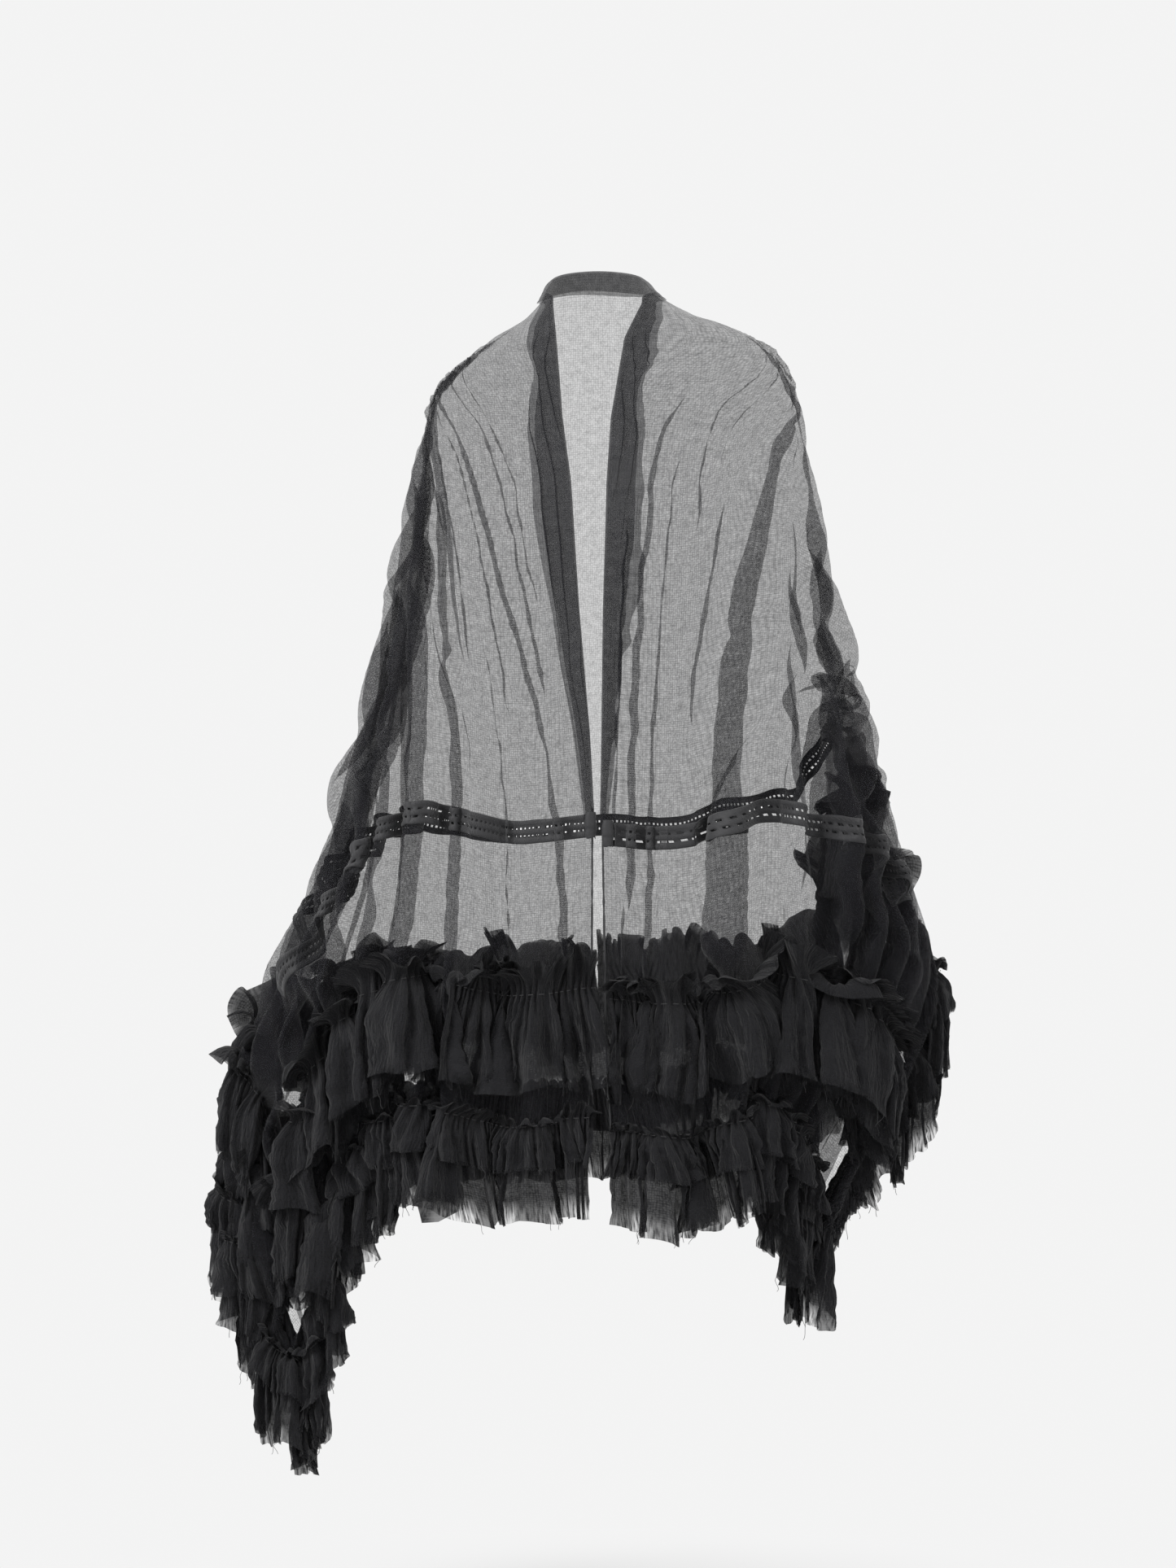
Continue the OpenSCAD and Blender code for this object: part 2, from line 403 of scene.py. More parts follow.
@dataclass(frozen=True)
class Tuck:
    """A narrow fold in the net that lies over on itself, seen as a dark line.

    Attributes:
        path: flat places along it, as (a, b) pairs with a positive.
        side: 1 on the wearer's left, -1 on the right.
        width: width of cloth that it takes.
        over: how far it folds over, as a share of that width.
        spread: how much of its width it gains on the way down.
        full: its width at its foot, as a share of width.
        highest: the most that it rises off the cloth.
    """

    path: tuple
    side: int
    width: float = 0.026
    over: float = 0.31
    spread: float = 0.6
    full: float = 1.15
    highest: float = 0.011

    def move(self, a: Array, b: Array) -> tuple[Array, Array]:
        """How far the tuck moves the cloth.

        Args:
            a: flat distance along the neck edge.
            b: flat distance from the neck edge.

        Returns:
            The move along b and the move outward.
        """
        path = np.array(self.path)
        head, foot = path[0, 0], path[-1, 0]
        line_seed, width_seed = (int(1e4 * path[k, 1]) for k in (0, -1))
        a = a * self.side
        at_b = np.interp(a, path[:, 0], path[:, 1]) + 0.0025 * wander(a, 0.03, line_seed)
        share = np.clip((a - head) / (foot - head), 0, 1)
        uneven = 0.2 * (self.full - self.spread) * wander(a, 0.07, width_seed)
        width = self.width * (self.full - self.spread * (1 - share) + uneven)
        off = (b - at_b) / width
        ends = ease((a - head) / 0.06) * ease((foot - a) / 0.09)
        window = np.exp(-((off / 0.62) ** 4)) * ends
        return (-self.over * width * np.sin(TAU * off) * window,
                np.minimum(0.22 * width, self.highest) * np.cos(TAU * off) * window)


# The tucks. On the wearer's right they fan out from the shoulder to the slit and down the arm. On the
# left they run beside the front edge and over the shoulder, with one wide fold that ends at the upper ruffle.
TUCKS = (
    Tuck(((0.16, 0.152), (0.30, 0.122), (0.46, 0.090), (0.62, 0.058), (0.84, 0.036), (0.95, 0.030)),
         -1, 0.028, 0.38),
    Tuck(((0.15, 0.112), (0.26, 0.096), (0.42, 0.068), (0.58, 0.050), (0.72, 0.040)), -1, 0.018),
    Tuck(((0.15, 0.088), (0.25, 0.082), (0.36, 0.062), (0.52, 0.046)), -1, 0.012),
    Tuck(((0.17, 0.134), (0.28, 0.136), (0.40, 0.114), (0.54, 0.098), (0.66, 0.094)), -1, 0.014),
    Tuck(((0.19, 0.168), (0.34, 0.150), (0.46, 0.138), (0.60, 0.134)), -1, 0.014),
    Tuck(((0.24, 0.196), (0.55, 0.188), (1.2, 0.180)), -1, 0.052),
    Tuck(((0.50, 0.116), (0.70, 0.110), (1.0, 0.108)), -1, 0.016),
    Tuck(((0.125, 0.03), (0.23, 0.185), (0.32, 0.26)), -1, 0.028),
    Tuck(((0.28, 0.20), (0.60, 0.25), (1.0, 0.30)), -1, 0.050, 0.42),
    Tuck(((0.26, 0.22), (0.55, 0.36), (0.95, 0.52)), -1, 0.055, 0.42),
    Tuck(((0.26, 0.25), (0.46, 0.46), (0.70, 0.66)), -1, 0.060, 0.42),
    Tuck(((0.125, 0.03), (0.22, 0.19), (0.32, 0.28)), 1, 0.030),
    Tuck(((0.14, 0.04), (0.24, 0.16), (0.36, 0.20)), 1, 0.022),
    Tuck(((0.26, 0.22), (0.55, 0.33), (0.92, 0.44)), 1, 0.050, 0.42),
    Tuck(((0.22, 0.054), (0.50, 0.042), (0.86, 0.032)), 1, 0.028, 0.40),
    Tuck(((0.26, 0.076), (0.60, 0.062), (1.0, 0.056)), 1, 0.022),
    Tuck(((0.15, 0.066), (0.24, 0.090), (0.36, 0.104), (0.46, 0.106)), 1, 0.018),
    Tuck(((0.16, 0.092), (0.26, 0.118), (0.38, 0.128)), 1, 0.014),
    Tuck(((0.36, 0.022), (0.70, 0.020), (1.0, 0.024)), 1, 0.018),
    Tuck(((0.24, 0.190), (0.45, 0.182), (0.72, 0.164), (0.95, 0.156)), 1, 0.125, 0.42, 0.90),
    Tuck(((0.34, 0.136), (0.62, 0.116), (1.2, 0.104)), 1, 0.026),
)


@dataclass
class HungNet:
    """The whole net as it hangs: a grid of points, settled by a small cloth solver.

    The front panels hang with a downward, the back with b downward, and the corner between them fans out from
    the point of the shoulder, where its spare width falls into folds.
    """

    cut: Cut = field(default_factory=Cut)
    form: HangingForm = field(default_factory=HangingForm)
    # How much of its length each part of a fan hangs down, by degrees round it. The left forearm takes some up.
    left_hang: tuple = ((0, 1.0), (20, 0.97), (36, 0.87), (46, 0.795), (52, 0.72), (58, 0.65), (66, 0.60),
                        (74, 0.72), (82, 0.90), (90, 1.0))
    right_hang: tuple = ((0, 1.0), (25, 0.97), (44, 0.97), (60, 0.965), (75, 0.98), (90, 1.0))
    upper_arm: float = 0.35      # how much of it lies smooth down the upper arm
    arm_slope: float = 0.96      # how much that part drops for each metre of it
    free: float = 0.20           # how much of it hangs free below the arm
    free_slope: float = 0.97     # how much that part drops for each metre of it
    neck_front: float = -16      # height of the neck edge at the top of a front edge, in mm
    neck_rise: float = 31        # how much higher it is at the nape, in mm
    ridge_top: float = -0.016    # height of the shoulder's ridge beside the neck
    ridge_end: float = -0.112    # height of the point of the shoulder
    columns: int = 257
    rows: int = 113
    steps: tuple = (600, 500)    # solver steps on the coarse and the fine grid
    folds: float = 7.5           # folds in the fan at each corner
    fullness: float = 0.13       # spare width in the front and back panels
    step_time: float = 1 / 300
    damping: float = 0.96        # share of its speed that the cloth keeps at each step
    pinned: float = 0.30         # length of the front edges that is held to the form, under the neck fold
    points: Array = field(init=False)

    def __post_init__(self) -> None:
        """Hangs the net."""
        self.points = self.hang()

    def flat(self, columns: int, rows: int) -> Array:
        """Flat coordinates of each grid point."""
        a, b = np.meshgrid(np.linspace(self.cut.reach, -self.cut.reach, columns),
                           np.linspace(0, self.cut.drop, rows), indexing="ij")
        return np.stack([a, b], -1)

    def smooth_half(self, side: int, a: Array, b: Array) -> tuple[Array, Array, Array]:
        """Where each place of half the cloth lies on the smooth form.

        Args:
            side: 1 on the wearer's left, -1 on the right.
            a: distance along the neck edge, positive.
            b: distance from the neck edge.

        Returns:
            The points, how far round the corner's fan each is from 0 to 1, and its distance from the shoulder.
        """
        cut, form = self.cut, self.form
        sa, sb = cut.shoulder
        along = np.clip((a - cut.nape) / (sa - cut.nape), 0, 1)
        in_front = (a > cut.nape) & (b < sb * along)
        fan = (a >= sa) & (b >= sb)
        ridge_f, ridge_b = cut.nape + (sa - cut.nape) * np.clip(b / sb, 0, 1), sb * along
        angle = np.arctan2(b - sb, a - sa)
        radius = np.hypot(a - sa, b - sb)
        limit = np.minimum((cut.reach - sa) / np.maximum(np.cos(angle), 1e-6),
                           (cut.drop - sb) / np.maximum(np.sin(angle), 1e-6))
        down = np.where(in_front, (a - ridge_f) / (cut.reach - ridge_f), (b - ridge_b) / (cut.drop - ridge_b))
        down = np.where(fan, radius / limit, down)
        run = np.where(in_front, a - ridge_f, np.where(fan, radius, b - ridge_b))
        to_nape = np.sin(np.pi / 2 * np.clip(1 - a / cut.nape, 0, 1))
        neck = (self.neck_front + self.neck_rise * to_nape) * MM
        along_ridge = np.where(in_front, np.clip(b / sb, 0, 1), along)
        start = np.where(a < cut.nape, neck, self.ridge_top + along_ridge * (self.ridge_end - self.ridge_top))
        start = np.where(fan, self.ridge_end, start)
        hang = self.left_hang if side > 0 else self.right_hang
        parts, heights = np.linspace(0, 1, 161), np.linspace(-1.5, 0.04, 200)
        girth = form.girth(side, heights, parts)
        part = np.full_like(a, 0.5)
        share = np.where(fan, angle / (np.pi / 2), np.where(in_front, 0.0, 1.0))
        for _ in range(4):
            turn = part if side > 0 else 2 - part
            hem = -look_up(form.edge_drops(), turn) * MM
            above = np.minimum(radius, limit - self.free)
            whole = limit - self.free
            drop = look_up(hang, np.degrees(angle)) * whole
            slack = (drop - self.arm_slope * self.upper_arm) / (whole - self.upper_arm)
            smooth = np.minimum(above, self.upper_arm)
            length = self.arm_slope * smooth + slack * (above - smooth) + self.free_slope * (radius - above)
            z = np.where(fan, start - length, start + (hem - start) * down)
            level = np.clip((z + 1.5) / 1.54 * 199, 0, 198.999)
            low = level.astype(int)
            ring = girth[low] + (girth[low + 1] - girth[low]) * (level - low)[..., None]
            spare = 1 + self.fullness * ease((-z - 0.15) / 0.45)
            by_front = self.along_ring(ring, np.minimum(b, sb) / spare)
            by_back = self.along_ring(ring, ring[..., -1] - np.minimum(a, sa) / spare)
            part = by_front + (by_back - by_front) * share
            near = 1 - ease(run / 0.10)
            on_ridge = np.where(along_ridge > 0.05, 1, 0)
            part = np.where(a > cut.nape, part + (0.5 - part) * near * on_ridge, part)
        turn = part if side > 0 else 2 - part
        return form.surface(turn, z), np.where(fan, share, np.where(in_front, 0.0, 1.0)), run

    @staticmethod
    def along_ring(ring: Array, target: Array) -> Array:
        """The part at which a distance round the form is reached."""
        last = ring.shape[-1] - 1
        above = np.clip((ring < target[..., None]).sum(-1), 1, last)
        high = np.take_along_axis(ring, above[..., None], -1)[..., 0]
        low = np.take_along_axis(ring, above[..., None] - 1, -1)[..., 0]
        return (above - 1 + np.clip((target - low) / np.maximum(high - low, 1e-9), 0, 1)) / last

    def smooth_and_folded(self, columns: int, rows: int) -> tuple[Array, Array]:
        """The net laid smoothly on the form, and the same with the folds that its spare width needs."""
        flat = self.flat(columns, rows)
        a, b = np.abs(flat[..., 0]), flat[..., 1]
        left, right = self.smooth_half(1, a, b), self.smooth_half(-1, a, b)
        on_left = flat[..., 0] >= 0
        smooth = np.where(on_left[..., None], left[0], right[0])
        share, run = np.where(on_left, left[1], right[1]), np.where(on_left, left[2], right[2])
        side = np.where(on_left, 0.0, 3.0)
        in_fan = ease(share / 0.06) * ease((1 - share) / 0.06)
        sweep = share + 0.035 * wander(share + side, 0.12, 5) + 0.015 * wander(run + side, 0.35, 8)
        height = 0.036 * ease((run - 0.05) / 0.75) * in_fan * (0.8 + 0.35 * wander(share + side, 0.10, 6))
        across = np.where(share > 0.5, a, b)
        uneven = 0.65 + 0.5 * wander(across + side, 0.07, 7)
        loose = 0.011 * ease((run - 0.03) / 0.4) * (1 - in_fan) * uneven
        wave = height * np.sin(TAU * self.folds * sweep)
        phase = TAU * (across / 0.066 + 0.45 * wander(across + side, 0.08, 9) + 0.12 * wander(run, 0.3, 10))
        wave = wave + loose * np.sin(phase + 0.5 * np.sin(phase))
        normal = unit(np.cross(np.gradient(smooth, axis=1), np.gradient(smooth, axis=0)))
        return smooth, smooth + normal * wave[..., None]

    def batches(self, flat: Array) -> list[tuple]:
        """Pairs of grid points that the cloth joins, in groups that share no point.

        Args:
            flat: flat coordinates of the grid.

        Returns:
            For each group, two index tuples, the rest lengths, and how much of an error in stretch and in
            squeeze is put right in one step.
        """
        n, m = flat.shape[:2]
        groups = []
        # Threads both ways, then the diagonals, then every second point, which resists bending
        kinds = [((1, 0), 2, 1.0, 0.40), ((0, 1), 2, 1.0, 0.40),
                 ((1, 1), 2, 0.30, 0.10), ((1, -1), 2, 0.30, 0.10),
                 ((2, 0), 4, 0.03, 0.05), ((0, 2), 4, 0.03, 0.05)]
        for (di, dj), count, pull, push in kinds:
            for phase in range(count):
                i = np.arange(phase, n - di, count) if di else np.arange(n)
                j = np.arange(max(0, -dj), m - max(0, dj)) if di else np.arange(phase, m - dj, count)
                step_i, step_j = (count, 1) if di else (1, count)
                first = (slice(i[0], i[-1] + 1, step_i), slice(j[0], j[-1] + 1, step_j))
                second = (slice(i[0] + di, i[-1] + di + 1, step_i), slice(j[0] + dj, j[-1] + dj + 1, step_j))
                rest = np.linalg.norm(flat[first] - flat[second], axis=-1)
                groups.append((first, second, rest, pull, push))
        return groups

    def settle(self, points: Array, smooth: Array, steps: int) -> Array:
        """Lets the folded grid hang, held to the form on the large scale only.

        Args:
            points: the grid at the start.
            smooth: the smooth form on the same grid.
            steps: how many solver steps.

        Returns:
            The settled grid.
        """
        n, m = points.shape[:2]
        flat = self.flat(n, m)
        a, b = np.abs(flat[..., 0]), flat[..., 1]
        groups = self.batches(flat)
        window = max(5, n // 18)

        def low_pass(grid: Array) -> Array:
            """The grid without its folds."""
            return blur(blur(grid, window, 0), window, 1)

        goal = low_pass(smooth)
        far = np.hypot(a - self.cut.shoulder[0], b - self.cut.shoulder[1])
        hold = (0.05 + 0.05 * ease((far - 0.2) / 0.5))[..., None]
        ridge = self.off_ridge(a, b)
        laid = (0.35 * (1 - ease((ridge - 0.02) / 0.09)))[..., None]
        edge_hold = (0.8 * np.exp(-b / 0.012) * ease((a - self.cut.nape) / 0.05))[..., None]
        pinned = (a <= self.cut.nape + self.pinned) & (b < 1e-6)
        fall = np.array([0, 0, -9.81 * self.step_time**2])
        x, before = points.copy(), points.copy()
        for step in range(steps):
            speed = (x - before) * self.damping
            before = x.copy()
            x += speed + fall
            for first, second, rest, pull, push in groups:
                gap = x[second] - x[first]
                length = np.sqrt(np.einsum("ijk,ijk->ij", gap, gap)) + 1e-9
                error = (length - rest) / length
                move = gap * (0.5 * np.where(error > 0, pull, push) * error)[..., None]
                x[first] += move
                x[second] -= move
            if step % 3 == 0:
                x += hold * (goal - low_pass(x))
                x += np.maximum(edge_hold, laid) * (smooth - x)
            x[pinned] = smooth[pinned]
        return x

    def off_ridge(self, a: Array, b: Array) -> Array:
        """Distance on the cloth from the line that lies along the top of a shoulder."""
        start, way = np.array([self.cut.nape, 0.0]), np.array(self.cut.shoulder) - (self.cut.nape, 0.0)
        from_start = np.stack([a, b], -1) - start
        along = np.clip(from_start @ way / (way @ way), 0, 1)
        return np.linalg.norm(from_start - along[..., None] * way, axis=-1)

    def hang(self) -> Array:
        """Drapes the net, coarse grid first, and reports how much it is stretched."""
        coarse = ((self.columns - 1) // 2 + 1, (self.rows - 1) // 2 + 1)
        smooth, points = self.smooth_and_folded(*coarse)
        points = self.settle(points, smooth, self.steps[0])
        points = self.finer(points)
        points = self.settle(points, self.smooth_and_folded(self.columns, self.rows)[0], self.steps[1])
        flat = self.flat(self.columns, self.rows)
        for axis, name in ((0, "along"), (1, "down")):
            got = np.linalg.norm(np.diff(points, axis=axis), axis=-1)
            due = np.linalg.norm(np.diff(flat, axis=axis), axis=-1)
            low, middle, high = np.percentile(got / due, (5, 50, 95))
            LOG.info("net stretch %s: %.3f, %.3f to %.3f", name, middle, low, high)
        return points

    @staticmethod
    def finer(grid: Array) -> Array:
        """Doubles a grid's density both ways, through a smooth curve."""
        for axis in (0, 1):
            g = np.moveaxis(grid, axis, 0)
            padded = np.concatenate([2 * g[:1] - g[1:2], g, 2 * g[-1:] - g[-2:-1]])
            middle = (9 * (padded[1:-2] + padded[2:-1]) - padded[:-3] - padded[3:]) / 16
            out = np.empty((2 * len(g) - 1,) + g.shape[1:])
            out[::2], out[1::2] = g, middle
            grid = np.moveaxis(out, 0, axis)
        return grid

    def on(self, a: Array, b: Array) -> Array:
        """Points of the hung net, with its tucks.

        Args:
            a: flat distance along the neck edge.
            b: flat distance from the neck edge.

        Returns:
            The points, in metres.
        """
        a, b = np.broadcast_arrays(np.asarray(a, dtype=float), np.asarray(b, dtype=float))
        points = self.untucked(a, b)
        slide, rise = np.zeros(a.shape), np.zeros(a.shape)
        for tuck in TUCKS:
            along, out = tuck.move(a, b)
            slide, rise = slide + along, rise + out
        middle = np.clip(b, ROOM, self.cut.drop - ROOM)
        across = unit(self.untucked(a, middle + ROOM) - self.untucked(a, middle - ROOM))
        inner = np.clip(a, ROOM - self.cut.reach, self.cut.reach - ROOM)
        along = self.untucked(inner - ROOM, b) - self.untucked(inner + ROOM, b)
        return points + across * slide[..., None] + unit(np.cross(across, along)) * rise[..., None]

    def untucked(self, a: Array, b: Array) -> Array:
        """Points of the hung net at flat coordinates before the tucks, through cubic curves."""
        n, m = self.points.shape[:2]
        x = np.clip((self.cut.reach - a) / (2 * self.cut.reach), 0, 1) * (n - 1)
        y = np.clip(b / self.cut.drop, 0, 1) * (m - 1)
        i, j = np.minimum(x.astype(int), n - 2), np.minimum(y.astype(int), m - 2)
        fx, fy = (x - i)[..., None], (y - j)[..., None]

        def weights(f: Array) -> list[Array]:
            """Catmull-Rom weights."""
            return [(-f + 2 * f**2 - f**3) / 2, (2 - 5 * f**2 + 3 * f**3) / 2,
                    (f + 4 * f**2 - 3 * f**3) / 2, (f**3 - f**2) / 2]

        total = 0
        for di, wx in zip((-1, 0, 1, 2), weights(fx)):
            for dj, wy in zip((-1, 0, 1, 2), weights(fy)):
                total = total + wx * wy * self.points[np.clip(i + di, 0, n - 1), np.clip(j + dj, 0, m - 1)]
        return total

    def outward(self, a: Array, b: Array) -> Array:
        """The outward direction of the net, without its tucks.

        Args:
            a: flat distance along the neck edge.
            b: flat distance from the neck edge.

        Returns:
            Directions of length 1.
        """
        b = np.clip(b, ROOM, self.cut.drop - ROOM)
        a = np.clip(a, ROOM - self.cut.reach, self.cut.reach - ROOM)
        round_way = self.untucked(a - ROOM, b) - self.untucked(a + ROOM, b)
        return unit(np.cross(self.untucked(a, b + ROOM) - self.untucked(a, b - ROOM), round_way))


# ---------------------------------------------------------------- finishes


def add_node(tree: bpy.types.NodeTree, kind: str, settings: dict | None = None, **inputs) -> bpy.types.Node:
    """Adds a node with its settings and links.

    Args:
        tree: the tree that gets it.
        kind: the node's type.
        settings: properties of the node by name.
        inputs: sockets by name or by number as i0, i1, each given a value or a socket to link from.

    Returns:
        The new node.
    """
    node = tree.nodes.new(kind)
    for name, value in (settings or {}).items():
        setattr(node, name, value)
    for name, value in inputs.items():
        key = int(name[1:]) if name[0] == "i" and name[1:].isdigit() else name.replace("_", " ")
        socket = node.inputs[key]
        if isinstance(value, bpy.types.NodeSocket):
            tree.links.new(value, socket)
        else:
            socket.default_value = value
    return node


@dataclass(frozen=True)
class Net:
    """Fine cotton bobbin net: matt black threads with open holes between.

    Most of its look is how much of what lies behind it shows. Real holes are about 0.9 mm across, too fine to
    show at this size, so they are drawn at cell_mm.
    """

    name: str
    colour: str = "#1c1c1f"
    cover: float = 0.40       # share of the surface that is thread
    contrast: float = 0.55    # how much the drawn holes vary it
    cell_mm: float = 2.6
    mottle_mm: float = 10.0
    mottle: float = 0.20
    sheen: float = 0.10
    crease_scale: float = 190.0     # fine creases, about 5 mm apart
    crinkle: float = 0.0      # depth of creases along the drop of a gathered strip, in metres
    frayed: bool = False      # a raw edge, thinning out along the mark "edge"

    def material(self) -> bpy.types.Material:
        """Builds the finish."""
        material = bpy.data.materials.new(self.name)
        material.use_nodes = True
        tree = material.node_tree
        tree.nodes.clear()
        uv = add_node(tree, "ShaderNodeUVMap", {"uv_map": "Cloth"}).outputs["UV"]
        cells = add_node(tree, "ShaderNodeTexVoronoi", {"feature": "F1"}, Vector=uv,
                         Scale=1000 / self.cell_mm, Randomness=0.35)
        cloud = add_node(tree, "ShaderNodeTexNoise", None, Vector=uv, Scale=1000 / self.mottle_mm,
                         Detail=5.0, Roughness=0.62)
        threads = add_node(tree, "ShaderNodeMath", {"operation": "MULTIPLY_ADD"}, i0=cells.outputs["Distance"],
                           i1=self.contrast, i2=self.cover - 0.42 * self.contrast)
        uneven = add_node(tree, "ShaderNodeMath", {"operation": "MULTIPLY_ADD"},
                          i0=cloud.outputs["Fac"], i1=2 * self.mottle, i2=-self.mottle)
        alpha = add_node(tree, "ShaderNodeMath", {"operation": "ADD", "use_clamp": True},
                         i0=threads.outputs[0], i1=uneven.outputs[0]).outputs[0]
        if self.frayed:
            alpha = self.fray(tree, uv, alpha)
        crease = add_node(tree, "ShaderNodeTexNoise", None, Vector=uv, Scale=self.crease_scale, Detail=5.0,
                          Roughness=0.65)
        bump = add_node(tree, "ShaderNodeBump", None, Strength=0.45, Distance=0.002,
                        Height=crease.outputs["Fac"])
        if self.crinkle:
            bump = self.crinkled(tree, uv, bump.outputs[0])
        shader = add_node(tree, "ShaderNodeBsdfPrincipled", None, Base_Color=srgb(self.colour), Roughness=0.88,
                          Sheen_Weight=self.sheen, Sheen_Roughness=0.5, Specular_IOR_Level=0.12,
                          Alpha=alpha, Normal=bump.outputs[0])
        add_node(tree, "ShaderNodeOutputMaterial", None, Surface=shader.outputs[0])
        return material

    def crinkled(self, tree: bpy.types.NodeTree, uv: bpy.types.NodeSocket,
                 normal: bpy.types.NodeSocket) -> bpy.types.Node:
        """Adds creases 3 mm apart that run down the gathered strip.

        Args:
            tree: the material's tree.
            uv: flat cloth coordinates.
            normal: the normal so far.

        Returns:
            The bump node.
        """
        drawn = add_node(tree, "ShaderNodeVectorMath", {"operation": "MULTIPLY"}, i0=uv, i1=(1.0, 0.14, 1.0))
        lines = add_node(tree, "ShaderNodeTexNoise", None, Vector=drawn.outputs[0], Scale=330.0, Detail=3.0,
                         Roughness=0.55, Distortion=0.3)
        return add_node(tree, "ShaderNodeBump", None, Strength=1.0, Distance=self.crinkle,
                        Height=lines.outputs["Fac"], Normal=normal)

    def fray(self, tree: bpy.types.NodeTree, uv: bpy.types.NodeSocket,
             alpha: bpy.types.NodeSocket) -> bpy.types.NodeSocket:
        """Thins the cloth towards its raw edge, in strands 2.4 mm apart and more in places 40 mm apart.

        Args:
            tree: the material's tree.
            uv: flat cloth coordinates.
            alpha: the cover before fraying.

        Returns:
            The cover after it.
        """
        edge = add_node(tree, "ShaderNodeAttribute", {"attribute_name": "edge"}).outputs["Fac"]
        stretched = add_node(tree, "ShaderNodeVectorMath", {"operation": "MULTIPLY"}, i0=uv,
                             i1=(1.0, 0.12, 1.0)).outputs[0]
        strands = add_node(tree, "ShaderNodeTexNoise", None, Vector=stretched, Scale=420.0, Detail=2.0)
        places = add_node(tree, "ShaderNodeTexNoise", None, Vector=stretched, Scale=24.0, Detail=1.0)
        worn = add_node(tree, "ShaderNodeMapRange", {"interpolation_type": "SMOOTHSTEP"},
                        Value=places.outputs["Fac"], From_Min=0.42, From_Max=0.62, To_Min=0.25, To_Max=1.0)
        gaps = add_node(tree, "ShaderNodeMapRange", None, Value=strands.outputs["Fac"], From_Min=0.34,
                        From_Max=0.62)
        thin = add_node(tree, "ShaderNodeMath", {"operation": "MULTIPLY"}, i0=edge, i1=gaps.outputs["Result"])
        loss = add_node(tree, "ShaderNodeMath", {"operation": "MULTIPLY", "use_clamp": True},
                        i0=thin.outputs[0], i1=worn.outputs["Result"])
        keep = add_node(tree, "ShaderNodeMath", {"operation": "SUBTRACT", "use_clamp": True},
                        i0=1.0, i1=loss.outputs[0])
        left = add_node(tree, "ShaderNodeMath", {"operation": "MULTIPLY"}, i0=alpha, i1=keep.outputs[0])
        return left.outputs[0]


@dataclass(frozen=True)
class CottonThread:
    """Mercerised cotton thread and lace cord: dense, near black, a little shinier than the net."""

    name: str
    colour: str = "#0e0e10"
    painted_highlight: str = "#232326"      # painted highlight: a lighter colour mixed in by the twist noise, standing in for the side of the twist that catches the light
    roughness: float = 0.7
    strand_mm: float = 1.2

    def material(self) -> bpy.types.Material:
        """Builds the finish, with a fine twist in its bump and a painted highlight mixed into its colour by the
        same twist.
        """
        material = bpy.data.materials.new(self.name)
        material.use_nodes = True
        tree = material.node_tree
        tree.nodes.clear()
        place = add_node(tree, "ShaderNodeTexCoord").outputs["Object"]
        twist = add_node(tree, "ShaderNodeTexNoise", None, Vector=place, Scale=1000 / self.strand_mm,
                         Detail=2.0)
        # painted highlight: the twist noise mixes a lighter colour into the thread's near black, in place of
        # light catching the twist
        painted_highlight_mix = add_node(tree, "ShaderNodeMix", {"data_type": "RGBA"}, Factor=twist.outputs["Fac"])
        painted_highlight_mix.inputs[6].default_value = srgb(self.colour)
        painted_highlight_mix.inputs[7].default_value = srgb(self.painted_highlight)
        bump = add_node(tree, "ShaderNodeBump", None, Strength=0.5, Distance=0.0004,
                        Height=twist.outputs["Fac"])
        shader = add_node(tree, "ShaderNodeBsdfPrincipled", None, Base_Color=painted_highlight_mix.outputs[2],
                          Roughness=self.roughness, Sheen_Weight=0.15, Normal=bump.outputs[0])
        add_node(tree, "ShaderNodeOutputMaterial", None, Surface=shader.outputs[0])
        return material


@dataclass
class Wardrobe:
    """The finishes that the pieces are dressed in."""

    net: bpy.types.Material = field(default_factory=lambda: Net("fine_cotton_net").material())
    fold: bpy.types.Material = field(
        default_factory=lambda: Net("doubled_net_fold", cover=0.62, contrast=0.09, cell_mm=2.0,
                                    mottle=0.12).material())
    ruffle: bpy.types.Material = field(
        default_factory=lambda: Net("gathered_cotton_tulle", colour="#19191b", cover=0.965, contrast=0.10,
                                    mottle=0.05, sheen=0.06, crinkle=0.0065, frayed=True).material())
    lace: bpy.types.Material = field(default_factory=lambda: CottonThread("insertion_lace_cord").material())
    thread: bpy.types.Material = field(
        default_factory=lambda: CottonThread("sewing_thread", colour="#0b0b0c", strand_mm=0.6).material())


def dress(piece: bpy.types.Object, finish: bpy.types.Material,
          nodes: tuple[str, ...] = ()) -> None:
    """Gives a piece its finish and body, and reports it.

    Args:
        piece: the object.
        finish: its material.
        nodes: the CAD nodes that it stands for.
    """
    piece.data.materials.clear()
    piece.data.materials.append(finish)
    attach(piece, BODY)
    if nodes:
        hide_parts(*nodes)
    LOG.info("%s: %d faces", piece.name, len(piece.data.polygons))


# ---------------------------------------------------------------- the pieces


@dataclass
class BodyNet:
    """The plain net inside the lace band."""

    net: HungNet
    columns: int = 401
    rows: int = 241
    wrinkle: float = 0.0010

    def build(self, wardrobe: Wardrobe) -> bpy.types.Object:
        """Makes the net as one continuous cloth."""
        cut = self.net.cut
        inside = cut.band_rise + cut.band_height / 2
        a, b = np.meshgrid(np.linspace(cut.reach - inside, inside - cut.reach, self.columns),
                           np.linspace(0, cut.drop - inside, self.rows), indexing="ij")
        flat = np.stack([a, b], -1)
        piece = grid_object("body_net", wrinkled(self.net.on(a, b), flat, self.wrinkle), flat)
        dress(piece, wardrobe.net,
              ("left_front_net", "left_back_net", "right_back_net", "right_front_net"))
        return piece


